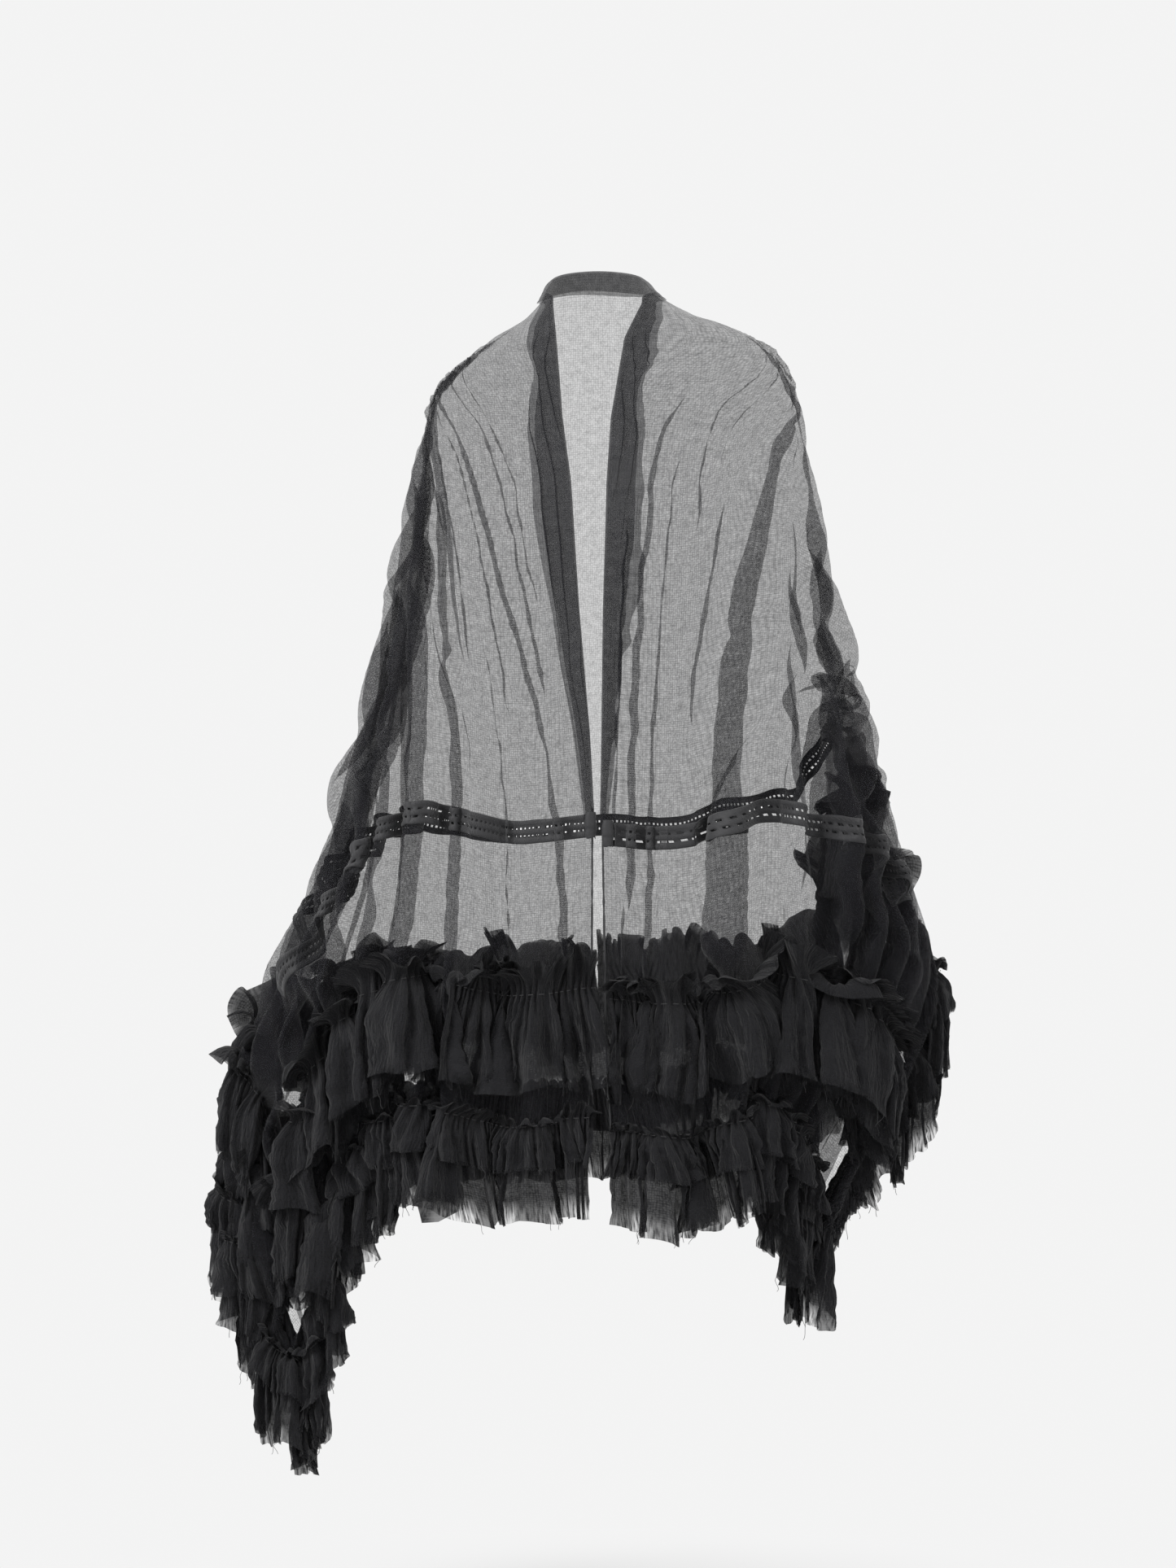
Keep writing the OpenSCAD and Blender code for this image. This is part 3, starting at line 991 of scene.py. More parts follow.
@dataclass
class NetBorder:
    """The net between the lace band and the edge, in four lengths."""

    net: HungNet
    columns: int = 150
    rows: int = 46
    wrinkle: float = 0.0012

    def build(self, section: Section, wardrobe: Wardrobe) -> bpy.types.Object:
        """Makes one length of the border."""
        cut = self.net.cut
        widest = cut.band_rise - cut.band_height / 2
        t, inside = np.meshgrid(np.linspace(0, 1, self.columns), np.linspace(widest, 0, self.rows),
                                indexing="ij")
        a, b = cut.strip(section, t, inside)
        flat = np.stack([a, b], -1)
        points = wrinkled(self.net.on(a, b), flat, self.wrinkle)
        piece = grid_object(f"net_border_{section.label}", points, flat)
        dress(piece, wardrobe.net, (f"{section.label}_border",))
        return piece


@dataclass
class Gathers:
    """A gathered strip sewn on along a row of the cloth."""

    net: HungNet
    name: str
    node: str
    inside: float            # how far inside the cloth's edge its gathers lie
    skirt: float             # length below the gathers
    heading: float = 0.0     # height of the frill above them
    stand: float = 0.010     # how far the skirt stands off the cloth
    lift: float = 0.001      # how far its gathers stand off the cloth
    fine: float = 0.0078     # spacing of the gathers
    pleat: float = 0.0145    # spacing of the pleats that they open into
    flare: float = 0.045     # spacing of the broad waves at the free edge
    depth: float = 0.008     # depth of those waves
    fullness: float = 2.7    # length of the flat strip over the length of its seam
    fray_from: float = 0.7   # where along the skirt the raw edge begins to thin
    spacing: float = 0.0011  # spacing of the mesh's columns
    rows: int = 17
    heading_rows: int = 9
    seed: int = 1
    samples: int = 1400      # places at which the seam is read

    def first_seed(self, section: Section) -> int:
        """The first of the random curves that one length uses."""
        return self.seed * 1000 + section.value * 100

    def base(self, section: Section) -> dict[str, Array]:
        """The line that the strip is sewn to, with its directions, and a fan round the cloth's corner.

        Args:
            section: which length of the strip.

        Returns:
            The line's points, the directions down, out and along, how far along the strip each column is, and
            the length of the seam itself without the fan.
        """
        cut = self.net.cut
        t = np.linspace(0, 1, self.samples)
        a, b = cut.strip(section, t, np.full_like(t, self.inside))
        inner_a, inner_b = cut.strip(section, t, np.full_like(t, self.inside + 0.012))
        line, inner = self.net.on(a, b), self.net.on(inner_a, inner_b)
        down = unit(line - inner)
        run = np.concatenate([[0], np.cumsum(np.linalg.norm(np.diff(line, axis=0), axis=1))])
        count = int(run[-1] / self.spacing)
        even = np.linspace(0, run[-1], count)
        line, down = (np.stack([np.interp(even, run, v[:, k]) for k in range(3)], -1) for v in (line, down))
        down = unit(down)
        along = unit(np.gradient(line, axis=0))
        out = unit(np.cross(down, along))
        corner_last = section in (Section.LEFT_END, Section.RIGHT_BACK)
        fan = max(8, int(0.45 * self.skirt / self.spacing))
        turn_by = np.linspace(0, np.pi / 4, fan + 1)[1:]
        at = -1 if corner_last else 0
        sign = 1 if corner_last else -1
        edge = along[at] * sign
        fan_down = np.cos(turn_by)[:, None] * down[at] + np.sin(turn_by)[:, None] * edge
        fan_line = np.repeat(line[at][None], fan, 0)
        fan_out = np.repeat(out[at][None], fan, 0)
        fan_along = unit(np.cross(fan_out, fan_down)) * -1
        pairs = ((line, fan_line), (down, fan_down), (out, fan_out), (along, fan_along))
        line, down, out, along = (np.concatenate([main, extra] if corner_last else [extra[::-1], main])
                                  for main, extra in pairs)
        return {"line": line, "down": down, "out": out, "along": along,
                "s": np.arange(len(line)) * self.spacing, "sewn": float(run[-1])}

    def folds(self, s: Array, h: Array, seed: int) -> tuple[Array, Array]:
        """How far the gathered folds move the cloth out and along.

        Args:
            s: run along the strip.
            h: 0 at the gathers, 1 at the free edge.
            seed: which set of folds.

        Returns:
            The move outward and the move along.
        """
        drift = wander(h, 0.45, seed + 2)
        tight = TAU * (s / self.fine + 0.8 * wander(s, 0.024, seed + 1) + 0.3 * wander(s, 0.009, seed)
                       + 0.2 * drift)
        pleat = TAU * (s / self.pleat + 0.8 * wander(s, 0.038, seed + 5) + 0.3 * wander(s, 0.014, seed + 9)
                       + 0.25 * drift * wander(s, 0.05, seed + 10))
        flare = TAU * (s / self.flare + 0.7 * wander(s, 0.07, seed + 3) + 0.2 * wander(h, 0.5, seed + 4))
        by_tight = (1 - 0.65 * ease((h - 0.1) / 0.6)) * (1 + 0.4 * wander(s, 0.03, seed + 11))
        by_pleat = ease((h + 0.05) / 0.5) * (1 + 0.45 * wander(s, 0.05, seed + 6))
        by_flare = ease((h - 0.05) / 0.8) * (1 + 0.5 * wander(s, 0.09, seed + 12))
        tall = (0.42 * self.fine * by_tight, 0.42 * self.pleat * by_pleat, self.depth * by_flare)
        outward = tall[0] * np.sin(tight) + tall[1] * np.sin(pleat) + tall[2] * np.sin(flare)
        crease = ripple(s + 0.004 * wander(h, 0.3, seed + 17), 0.55 * h, 0.0065, 0.16, seed + 18)
        outward = outward + 0.0032 * ease(h / 0.2) * (1 - np.minimum(1, np.abs(crease) / 0.24))
        cross = ripple(s + 0.05 * h, h - 6 * s, 0.016, 0.22, seed + 24)
        outward = outward + 0.0030 * ease(h / 0.3) * (1 - np.minimum(1, np.abs(cross) / 0.2))
        lean = 0.022 * h**1.3 * wander(s, 0.045, seed + 19) + 0.012 * h * wander(s, 0.018, seed + 20)
        bulge = (0.095 * self.fine * by_tight * np.sin(2 * tight)
                 + 0.105 * self.pleat * by_pleat * np.sin(2 * pleat)
                 + 0.05 * self.flare * by_flare * np.sin(2 * flare))
        return outward, lean - bulge

    def skirt_grid(self, base: dict[str, Array], seed: int) -> tuple[Array, Array]:
        """Points of the skirt, and its run down.

        Args:
            base: what base() returned.
            seed: which set of folds.

        Returns:
            Points as (columns, rows, 3), and 0 to 1 down the skirt.
        """
        h = np.linspace(0, 1, self.rows)
        s = base["s"][:, None]
        length = self.skirt * (1 + 0.07 * wander(s, 0.012, seed + 7) + 0.06 * wander(s, 0.07, seed + 8))
        out = unit(blur(base["out"], 16))
        fall = np.array([0.0, 0.0, -1.0])
        point = base["line"] + out * self.lift
        centre = [point]
        for k in range(1, self.rows):
            mid = (h[k] + h[k - 1]) / 2
            droop = ease(np.array(0.15 + 1.1 * mid))
            uneven = 1 + 0.7 * wander(s, 0.06, seed + 21)
            away = self.stand / self.skirt * 3.2 * max(0.0, 1 - mid / 0.5) * uneven
            kick = 0.35 * ease(np.array((mid - 0.35) / 0.65)) * wander(s, 0.05, seed + 22)
            way = unit((1 - droop) * base["down"] + droop * fall + out * (away + kick))
            point = point + way * (length * (h[k] - h[k - 1]))
            centre.append(point)
        centre = np.stack(centre, 1)
        outward, sideways = self.folds(s, h[None, :], seed)
        fold_out = unit(0.8 * out + 0.2 * base["out"])[:, None, :]
        grid = centre + fold_out * outward[..., None] + base["along"][:, None, :] * sideways[..., None]
        return grid, np.broadcast_to(h, grid.shape[:2])

    def heading_grid(self, base: dict[str, Array], seed: int) -> Array:
        """Points of the frill above the gathers, which flops outward and down.

        Args:
            base: what base() returned.
            seed: which set of folds.

        Returns:
            Points as (columns, rows, 3), free edge first.
        """
        g = np.linspace(0, 1, self.heading_rows)
        s = base["s"][:, None]
        height = self.heading * (1 + 0.35 * wander(s, 0.05, seed + 11) + 0.18 * wander(s, 0.015, seed + 12))
        flop = 1.75 + 1.15 * wander(s, 0.045, seed + 13) + 0.5 * wander(s, 0.020, seed + 14)
        flop = np.clip(flop, 0.2, 2.75)
        out, up = unit(blur(base["out"], 10)), -base["down"]
        point = base["line"] + out * self.lift
        path = [point]
        for k in range(1, self.heading_rows):
            angle = flop * ease(np.array((g[k] + g[k - 1]) / 2 * 1.15))
            way = np.cos(angle) * up + np.sin(angle) * out
            point = point + way * (height * (g[k] - g[k - 1]))
            path.append(point)
        path = np.stack(path, 1)
        wide = TAU * (s / (1.15 * self.pleat) + 0.9 * wander(s, 0.035, seed + 15))
        small = TAU * (s / self.fine + 0.8 * wander(s, 0.024, seed + 1) + 0.3 * wander(s, 0.009, seed))
        wave = 0.46 * self.pleat * ease(g / 0.7)[None] * np.sin(wide) * (1 + 0.5 * wander(s, 0.05, seed + 16))
        wave = wave + 0.34 * self.fine * (1 - 0.7 * ease(g / 0.8))[None] * np.sin(small + 0.8 * g[None])
        side = 0.012 * g[None] * wander(s, 0.03, seed + 23)
        side = side - 0.10 * self.pleat * ease(g / 0.7)[None] * np.sin(2 * wide)
        side = side - 0.09 * self.fine * (1 - ease(g / 0.8))[None] * np.sin(2 * small)
        tilt = flop * ease(g * 1.15)[None]
        across = np.cos(tilt)[..., None] * out[:, None] - np.sin(tilt)[..., None] * up[:, None]
        grid = path + across * wave[..., None] + base["along"][:, None] * side[..., None]
        return grid[:, ::-1]

    def build(self, section: Section, wardrobe: Wardrobe) -> bpy.types.Object:
        """Makes one length of the strip.

        Args:
            section: which length.
            wardrobe: the finishes.

        Returns:
            The piece.
        """
        base = self.base(section)
        seed = self.first_seed(section)
        grid, h = self.skirt_grid(base, seed)
        edge = ease((h - self.fray_from) / (1 - self.fray_from))
        down = h * self.skirt
        if self.heading > 0:
            top = self.heading_grid(base, seed)
            g = np.linspace(1, 0, self.heading_rows)
            grid = np.concatenate([top[:, :-1], grid], 1)
            worn = 0.5 * ease((g - 0.75) / 0.25)
            edge = np.concatenate([np.broadcast_to(worn, top.shape[:2])[:, :-1], edge], 1)
            down = np.concatenate([np.broadcast_to(-g * self.heading, top.shape[:2])[:, :-1], down], 1)
        gathering = grid_area(grid) / (base["sewn"] * (self.skirt + self.heading))
        uv = np.stack([np.broadcast_to(base["s"][:, None] * gathering, down.shape), down], -1)
        piece = grid_object(f"{self.name}_{section.label}", grid, uv, {"edge": edge})
        dress(piece, wardrobe.ruffle, (f"{section.label}_{self.node}",))
        return piece


@dataclass
class LaceBand:
    """Insertion lace let in between the net and its border.

    It is woven bars with two rows of small square holes, and a whipped cord along the middle and both edges.
    """

    net: HungNet
    pitch: float = 0.0056      # from one hole to the next
    thickness: float = 0.0009
    across_mm: tuple = (13, 12, 10.4, 8.6, 7.2, 5.7, 3.1, 1.6,
                        0, -1.6, -3.1, -5.7, -7.2, -8.6, -10.4, -12, -13)
    raised_mm: tuple = (0.2, 0.9, 1.3, 0.9, 0.3, 0.2, 0.2, 0.8,
                        1.2, 0.8, 0.2, 0.2, 0.3, 0.9, 1.3, 0.9, 0.2)
    hole_rows: tuple = (5, 10)

    def build(self, section: Section, wardrobe: Wardrobe) -> bpy.types.Object:
        """Makes one length of the band.

        Args:
            section: which length.
            wardrobe: the finishes.

        Returns:
            The piece.
        """
        cut = self.net.cut
        cut_length = (cut.drop if section.is_end else cut.reach) - cut.band_rise
        cells = int(round(cut_length / self.pitch))
        t, d = np.meshgrid(np.linspace(0, 1, 4 * cells + 1), cut.band_rise + np.array(self.across_mm) * MM,
                           indexing="ij")
        a, b = cut.strip(section, t, d)
        flat = np.stack([a, b], -1)
        out = self.net.outward(a, b)
        points = self.net.on(a, b) + out * (np.array(self.raised_mm) * MM)[None, :, None]
        ribbon = grid_object("ribbon", points, flat)
        self.punch(ribbon, cells, points.shape[1])
        piece = thickened(ribbon, self.thickness)
        piece.name = f"lace_band_{section.label}"
        dress(piece, wardrobe.lace, (f"{section.label}_lace",))
        cord = stitches(f"lace_whipping_{section.label}", self.whipping(points, out), wardrobe.thread, 0.0005)
        dress(cord, wardrobe.thread)
        return piece

    def punch(self, ribbon: bpy.types.Object, cells: int, rows: int) -> None:
        """Takes the holes out of the ribbon.

        Args:
            ribbon: the strip's mesh.
            cells: how many holes each row has.
            rows: grid points across the strip.
        """
        faces = np.arange(4 * cells * (rows - 1)).reshape(4 * cells, rows - 1)
        gone = set()
        for row in self.hole_rows:
            gone.update(faces[1::4, row].tolist() + faces[2::4, row].tolist())
        work = bmesh.new()
        work.from_mesh(ribbon.data)
        work.faces.ensure_lookup_table()
        bmesh.ops.delete(work, geom=[work.faces[k] for k in sorted(gone)], context="FACES")
        work.to_mesh(ribbon.data)
        work.free()

    def whipping(self, points: Array, out: Array) -> Array:
        """Ends of the slanting stitches over the raised bars, as (stitches, 2, 3)."""
        above = points + out * 0.0006
        bars = ((1, 3), (7, 9), (13, 15))
        return np.concatenate([np.stack([above[:-1:2, first], above[1::2, last]], 1) for first, last in bars])


def thickened(piece: bpy.types.Object, thickness: float) -> bpy.types.Object:
    """Gives a one-sided strip a thickness on both sides, as a plain mesh."""
    solid = piece.modifiers.new("thickness", "SOLIDIFY")
    solid.thickness = thickness
    solid.offset = 0
    return applied(piece)


def applied(piece: bpy.types.Object) -> bpy.types.Object:
    """Turns a piece's modifiers into its mesh."""
    graph = bpy.context.evaluated_depsgraph_get()
    mesh = bpy.data.meshes.new_from_object(piece.evaluated_get(graph))
    piece.modifiers.clear()
    piece.data = mesh
    return piece


def stitch_tree(material: bpy.types.Material) -> bpy.types.NodeTree:
    """Geometry nodes that turn every edge of a mesh into a short thread.

    Args:
        material: finish of the threads.

    Returns:
        The node group, with an input for the threads' radius.
    """
    tree = bpy.data.node_groups.new("stitches", "GeometryNodeTree")
    face = tree.interface
    face.new_socket("Geometry", in_out="INPUT", socket_type="NodeSocketGeometry")
    face.new_socket("Radius", in_out="INPUT", socket_type="NodeSocketFloat").default_value = 0.0005
    face.new_socket("Geometry", in_out="OUTPUT", socket_type="NodeSocketGeometry")
    start = add_node(tree, "NodeGroupInput")
    line = add_node(tree, "GeometryNodeMeshToCurve", None, Mesh=start.outputs["Geometry"])
    ring = add_node(tree, "GeometryNodeCurvePrimitiveCircle", None, Resolution=4,
                    Radius=start.outputs["Radius"])
    thread = add_node(tree, "GeometryNodeCurveToMesh", None, Curve=line.outputs[0],
                      Profile_Curve=ring.outputs[0])
    real = add_node(tree, "GeometryNodeRealizeInstances", None, Geometry=thread.outputs[0])
    paint = add_node(tree, "GeometryNodeSetMaterial", None, Geometry=real.outputs[0], Material=material)
    end = add_node(tree, "NodeGroupOutput")
    tree.links.new(paint.outputs[0], end.inputs[0])
    return tree


def stitches(name: str, lines: Array, material: bpy.types.Material, radius: float) -> bpy.types.Object:
    """Short straight threads.

    Args:
        name: the object's name.
        lines: points along each thread, as (threads, points, 3).
        material: finish of the threads.
        radius: half their thickness.

    Returns:
        One object with all the threads, as a plain mesh.
    """
    count, steps = lines.shape[:2]
    index = np.arange(count * steps).reshape(count, steps)
    edges = np.stack([index[:, :-1], index[:, 1:]], -1).reshape(-1, 2)
    mesh = bpy.data.meshes.new(name)
    mesh.from_pydata(lines.reshape(-1, 3).tolist(), edges.tolist(), [])
    piece = bpy.data.objects.new(name, mesh)
    bpy.context.scene.collection.objects.link(piece)
    modifier = piece.modifiers.new("stitches", "NODES")
    modifier.node_group = stitch_tree(material)
    for item in modifier.node_group.interface.items_tree:
        if item.name == "Radius":
            modifier[item.identifier] = radius
    return applied(piece)


@dataclass
class NeckFold:
    """The neck edge, folded back over the outside of the net from one waist round the nape to the other."""

    net: HungNet
    half_length: float = 0.74
    widths: tuple = ((0, 0.028), (0.09, 0.024), (0.13, 0.016), (0.17, 0.018), (0.22, 0.029), (0.29, 0.041),
                     (0.38, 0.041), (0.52, 0.031), (0.66, 0.018), (0.74, 0.011))
    inner_share: float = 0.80    # width of the turning inside, as a share of the fold's
    roll: float = 0.0020         # radius of the rolled edge
    roll_share: float = 0.06     # how much of the width it takes up
    over_neck: float = 0.125     # where the fold turns over the shoulder, and lies without pleats
    across: int = 60
    columns: int = 700

    @property
    def wide(self) -> float:
        """The fold's greatest width."""
        return max(width for _, width in self.widths)

    def width(self, a: Array) -> Array:
        """The fold's width along the neck edge."""
        return look_up(self.widths, np.abs(a)) * (1 + 0.06 * wander(a, 0.06, 30))

    def build(self, wardrobe: Wardrobe) -> bpy.types.Object:
        """Makes the fold: an inner turning, a rolled edge and an outer layer with lengthwise pleats.

        Args:
            wardrobe: the finishes.

        Returns:
            The piece.
        """
        a, q = np.meshgrid(np.linspace(self.half_length, -self.half_length, self.columns),
                           np.linspace(-self.inner_share, 1, self.across), indexing="ij")
        edge = self.net.on(a[:, 0], 0 * a[:, 0])
        reach = np.linalg.norm(self.net.on(a[:, 0], 0 * a[:, 0] + 0.03) - edge, axis=-1) / 0.03
        give = np.maximum(1.0, blur(reach, 15))[:, None]
        width = self.width(a)
        phase = TAU * (2.6 * q + 0.8 * wander(a, 0.16, 31) + 0.3 * wander(a, 0.05, 32))
        pleated = ease(q / 0.2) * ease((1.02 - q) / 0.15) * (0.75 + 0.35 * wander(a, 0.10, 33))
        pleated = pleated * (1 - 0.85 * np.exp(-(((np.abs(a) - self.over_neck) / 0.035) ** 2)))
        laid = np.abs(q) - 0.105 * pleated * np.sin(phase)
        b = laid * width / give
        at_edge, inward = self.net.on(a, 0 * b), self.net.on(a, b)
        into = unit(self.net.on(a, 0 * b + 0.012) - at_edge)
        past_roll = np.abs(q) / self.roll_share
        layer = np.where(q < 0, -self.roll, self.roll) * ease(past_roll)
        lip = -self.roll * np.sqrt(np.maximum(0, 1 - np.clip(past_roll, 0, 1) ** 2))
        ridge = pleated * (0.0012 + 0.0034 * width / self.wide * (0.5 + 0.5 * np.cos(phase)))
        ridge = ridge + 0.0007 * ripple(a, b, 0.03, 0.008, 34) * np.clip(q * 4, 0, 1)
        points = inward + self.net.outward(a, b) * (layer + ridge)[..., None] + into * lip[..., None]
        flat = np.stack([a, q * width], -1)
        piece = grid_object("neck_fold", points[:, ::-1], flat[:, ::-1])
        dress(piece, wardrobe.fold, ("nape_fold", "left_front_fold", "right_front_fold"))
        return piece


@dataclass
class BandEnd:
    """The lace band's end, turned in and caught down in a small knot at the slit."""

    net: HungNet
    turns: float = 1.6
    radius: float = 0.0085
    up_edge: float = 0.006       # how far from the front edge its middle is
    columns: int = 22
    rows: int = 64

    def build(self, side: int, wardrobe: Wardrobe) -> bpy.types.Object:
        """Makes one end as a short length of lace rolled on itself.

        Args:
            side: 1 on the wearer's left, -1 on the right.
            wardrobe: the finishes.

        Returns:
            The piece.
        """
        cut = self.net.cut
        name = side_name(side)
        a0, b0 = cut.reach - cut.band_rise, np.array(self.up_edge)
        v, t = np.meshgrid(np.linspace(-0.5, 0.5, self.columns), np.linspace(0, 1, self.rows), indexing="ij")
        centre = self.net.on(np.array(side * a0), b0)
        up = unit(self.net.on(np.array(side * (a0 - 0.01)), b0) - centre)
        out = self.net.outward(np.array(side * a0), b0)
        across = np.cross(up, out)
        angle = TAU * self.turns * t
        radius = self.radius * (1 - 0.62 * t) * (1 + 0.16 * ripple(v, t, 0.21, 0.17, 41)) * (1 - 0.9 * v**2)
        tall = v * (cut.band_height + 0.004) * (1 - 0.18 * t) + 0.002 * ripple(v, t, 0.3, 0.13, 42)
        points = (centre + out * 0.004 + up * tall[..., None]
                  + across * (0.85 * radius * np.cos(angle))[..., None]
                  + out * (0.62 * radius * np.sin(angle))[..., None])
        width = float(np.linalg.norm(np.diff(points[self.columns // 2], axis=0), axis=-1).sum())
        flat = np.stack([t * width, v * cut.band_height], -1)
        piece = thickened(grid_object("knot", points, flat), 0.0007)
        piece.name = f"band_end_{name}"
        dress(piece, wardrobe.lace, (f"{name}_band_end",))
        # No cut length is known for the turned-in end, so its flat length is the drawn one
        return piece


@dataclass
class LooseThreads:
    """Gathering threads along the ruffles, and stray ends of thread at their raw edges."""

    net: HungNet
    stitch: float = 0.0042
    strays: int = 46

    def gathering(self, section: Section, strip: Gathers, wardrobe: Wardrobe) -> bpy.types.Object:
        """Running stitches along one length of gathers.

        Args:
            section: which length.
            strip: the gathered strip.
            wardrobe: the finishes.

        Returns:
            The stitches.
        """
        base = strip.base(section)
        step = int(round(self.stitch / strip.spacing))
        line = base["line"] + unit(blur(base["out"], 16)) * (strip.lift + 0.0032)
        first, last = line[: -step : 2 * step], line[step :: 2 * step]
        count = min(len(first), len(last))
        first, last = first[:count], last[:count]
        bowed = (first + last) / 2 + base["out"][: -step : 2 * step][:count] * 0.0006
        piece = stitches(f"gathering_thread_{strip.name}_{section.label}", np.stack([first, bowed, last], 1),
                         wardrobe.thread, 0.00045)
        dress(piece, wardrobe.thread)
        return piece

    def frayed_ends(self, section: Section, strip: Gathers, wardrobe: Wardrobe) -> bpy.types.Object:
        """Loose ends of thread that hang from a raw edge.

        Args:
            section: which length.
            strip: the gathered strip.
            wardrobe: the finishes.

        Returns:
            The threads.
        """
        dice = np.random.default_rng(700 + 10 * section.value + strip.seed)
        grid, _ = strip.skirt_grid(strip.base(section), strip.first_seed(section))
        at = dice.integers(20, len(grid) - 20, self.strays)
        start = grid[at, -2]
        length = dice.uniform(0.006, 0.024, self.strays)[:, None, None]
        run = np.linspace(0, 1, 9)[None, :, None]
        lean = dice.normal(0, 0.35, (self.strays, 1, 3)) * np.array([1, 1, 0.2])
        curl = dice.normal(0, 0.35, (self.strays, 1, 3)) * np.array([1, 1, 0.5])
        way = np.array([0, 0, -1.0]) * run + lean * run**2 * 0.5 + curl * np.sin(3.5 * run) ** 2 * 0.35
        piece = stitches(f"stray_threads_{strip.name}_{section.label}", start[:, None] + way * length,
                         wardrobe.thread, 0.00028)
        dress(piece, wardrobe.thread)
        return piece


@dataclass
class FrontHem:
    """The narrow rolled hem down a front edge, below the end of the neck fold."""

    net: HungNet
    radius: float = 0.0011
    start: float = 0.72
    columns: int = 240

    def build(self, side: int, wardrobe: Wardrobe) -> bpy.types.Object:
        """Makes one hem.

        Args:
            side: 1 on the wearer's left, -1 on the right.
            wardrobe: the finishes.

        Returns:
            The piece.
        """
        a = np.linspace(self.start, self.net.cut.reach, self.columns)
        line = self.net.on(side * a, 0 * a + 0.0006)
        along = unit(np.gradient(line, axis=0))
        out = self.net.outward(side * a, 0 * a)
        across = np.cross(along, out)
        ring = np.linspace(0, TAU, 9)
        grow = self.radius * (1 + 0.25 * wander(a, 0.009, 51))[:, None, None]
        points = line[:, None] + grow * (np.cos(ring)[None, :, None] * out[:, None]
                                         + np.sin(ring)[None, :, None] * across[:, None])
        flat = np.stack(np.broadcast_arrays(a[:, None], ring[None] * self.radius), -1)
        piece = grid_object(f"front_hem_{side_name(side)}", points, flat)
        dress(piece, wardrobe.thread)
        return piece


# ---------------------------------------------------------------- the studio


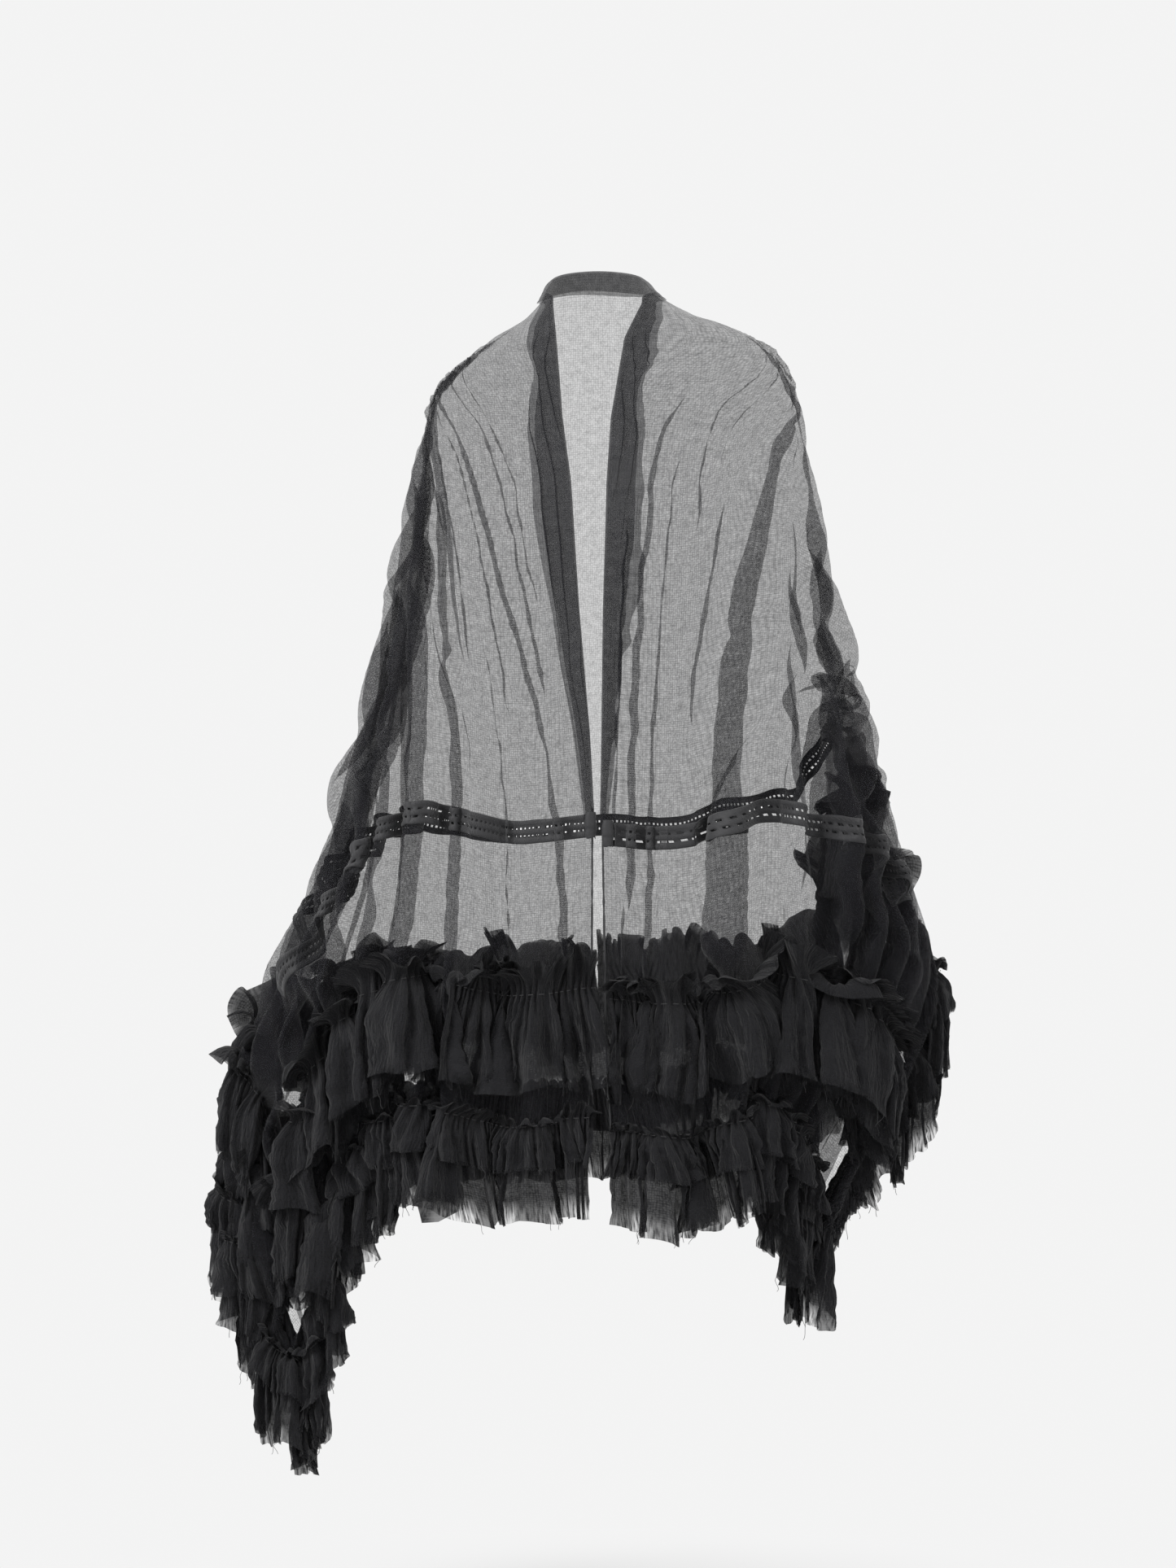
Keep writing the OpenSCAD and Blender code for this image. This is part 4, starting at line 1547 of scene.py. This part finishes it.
@dataclass(frozen=True)
class Studio:
    """A pale floor under an even sky, soft lights, and a camera straight in front of the wrap.

    Attributes:
        floor: height of the floor.
        span: half its width.
        view_height: height of what the camera sees at the wrap.
        view_centre: x and z of the middle of the view.
        distance: from the camera to the wrap.
        sky: strength of the sky.
        aim: the point that the lamps are turned to.
        lamps: name, place, power in watts and size of each.
    """

    floor: float = -1.56
    span: float = 9.0
    view_height: float = 1.83
    view_centre: tuple = (-0.012, -0.588)
    distance: float = 6.0
    sky: float = 0.90
    aim: tuple = (0, 0, -0.6)
    lamps: tuple = (("key", (-2.8, -2.6, 1.9), 190, 1.8),
                    ("fill", (2.9, -2.8, 0.6), 40, 2.4),
                    ("back", (0.4, 1.6, 2.6), 30, 2.0))

    def build(self) -> None:
        """Makes the floor, the lights and the camera."""
        self.ground()
        self.lights()
        self.camera()

    def ground(self) -> None:
        """A matt white floor that brightens outwards until it is as bright as the sky behind it."""
        line = np.linspace(-self.span, self.span, 41)
        x, y = np.meshgrid(line, line[::-1], indexing="ij")
        plate = grid_object("floor", np.stack([x, y, 0 * x + self.floor], -1), np.stack([x, y], -1))
        paint = bpy.data.materials.new("matt_white_paint")
        paint.use_nodes = True
        tree = paint.node_tree
        tree.nodes.clear()
        place = add_node(tree, "ShaderNodeTexCoord").outputs["Object"]
        flat = add_node(tree, "ShaderNodeVectorMath", {"operation": "MULTIPLY"}, i0=place, i1=(1.0, 1.0, 0.0))
        far = add_node(tree, "ShaderNodeVectorMath", {"operation": "LENGTH"}, i0=flat.outputs[0])
        blend = add_node(tree, "ShaderNodeMapRange", {"interpolation_type": "SMOOTHSTEP"},
                         Value=far.outputs["Value"], From_Min=-0.2, From_Max=0.7)
        matt = add_node(tree, "ShaderNodeBsdfDiffuse", None, Color=srgb("#cdcdcd"))
        sky = add_node(tree, "ShaderNodeEmission", None, Color=(1.0, 1.0, 1.0, 1.0), Strength=self.sky)
        mixed = add_node(tree, "ShaderNodeMixShader", None, i0=blend.outputs["Result"], i1=matt.outputs[0],
                         i2=sky.outputs[0])
        add_node(tree, "ShaderNodeOutputMaterial", None, Surface=mixed.outputs[0])
        plate.data.materials.append(paint)

    def lights(self) -> None:
        """A bright even sky, two large soft lamps in front and one behind."""
        world = bpy.data.worlds.new("studio")
        world.use_nodes = True
        world.node_tree.nodes["Background"].inputs["Color"].default_value = (1, 1, 1, 1)
        world.node_tree.nodes["Background"].inputs["Strength"].default_value = self.sky
        bpy.context.scene.world = world
        for name, place, power, size in self.lamps:
            lamp = bpy.data.lights.new(name, "AREA")
            lamp.energy = power
            lamp.size = size
            holder = bpy.data.objects.new(name, lamp)
            holder.location = place
            way = Vector(self.aim) - Vector(place)
            holder.rotation_euler = way.to_track_quat("-Z", "Y").to_euler()
            bpy.context.scene.collection.objects.link(holder)

    def camera(self) -> None:
        """A long lens, level, at the height of the waist."""
        lens = bpy.data.cameras.new("camera")
        lens.sensor_fit = "VERTICAL"
        lens.angle = 2 * math.atan(self.view_height / 2 / self.distance)
        holder = bpy.data.objects.new("camera", lens)
        holder.location = (self.view_centre[0], -self.distance, self.view_centre[1])
        holder.rotation_euler = (math.pi / 2, 0, 0)
        bpy.context.scene.collection.objects.link(holder)
        bpy.context.scene.camera = holder
        bpy.context.scene.view_settings.view_transform = "Standard"


def main() -> None:
    """Builds the wrap and its studio."""
    logging.basicConfig(level=logging.INFO, format="%(name)s: %(message)s")
    Studio().build()
    net = HungNet()
    wardrobe = Wardrobe()
    BodyNet(net).build(wardrobe)
    border, band = NetBorder(net), LaceBand(net)
    upper = Gathers(net, "upper_ruffle", "upper_ruffle", inside=net.cut.upper_rise, skirt=0.114, heading=0.044,
                    lift=0.005, stand=0.018, fray_from=0.88, seed=1)
    frill = Gathers(net, "frill", "frill", inside=0.004, skirt=0.056, heading=0.015, lift=0.007, stand=0.012,
                    fine=0.007, pleat=0.011, flare=0.034, depth=0.005, fray_from=0.9, rows=12, heading_rows=5,
                    seed=2)
    lower = Gathers(net, "lower_ruffle", "lower_ruffle", inside=0.003, skirt=0.112, lift=0.001, stand=0.006,
                    fine=0.0072, pleat=0.012, flare=0.036, depth=0.006, fray_from=0.74, seed=3)
    threads = LooseThreads(net)
    for section in Section:
        border.build(section, wardrobe)
        band.build(section, wardrobe)
        for strip in (upper, frill, lower):
            strip.build(section, wardrobe)
            threads.frayed_ends(section, strip, wardrobe)
        for strip in (upper, frill):
            threads.gathering(section, strip, wardrobe)
    for side in (1, -1):
        BandEnd(net).build(side, wardrobe)
        FrontHem(net).build(side, wardrobe)
    NeckFold(net).build(wardrobe)
    bpy.context.scene.cycles.transparent_max_bounces = 24
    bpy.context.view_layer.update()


if __name__ == "__main__":
    main()
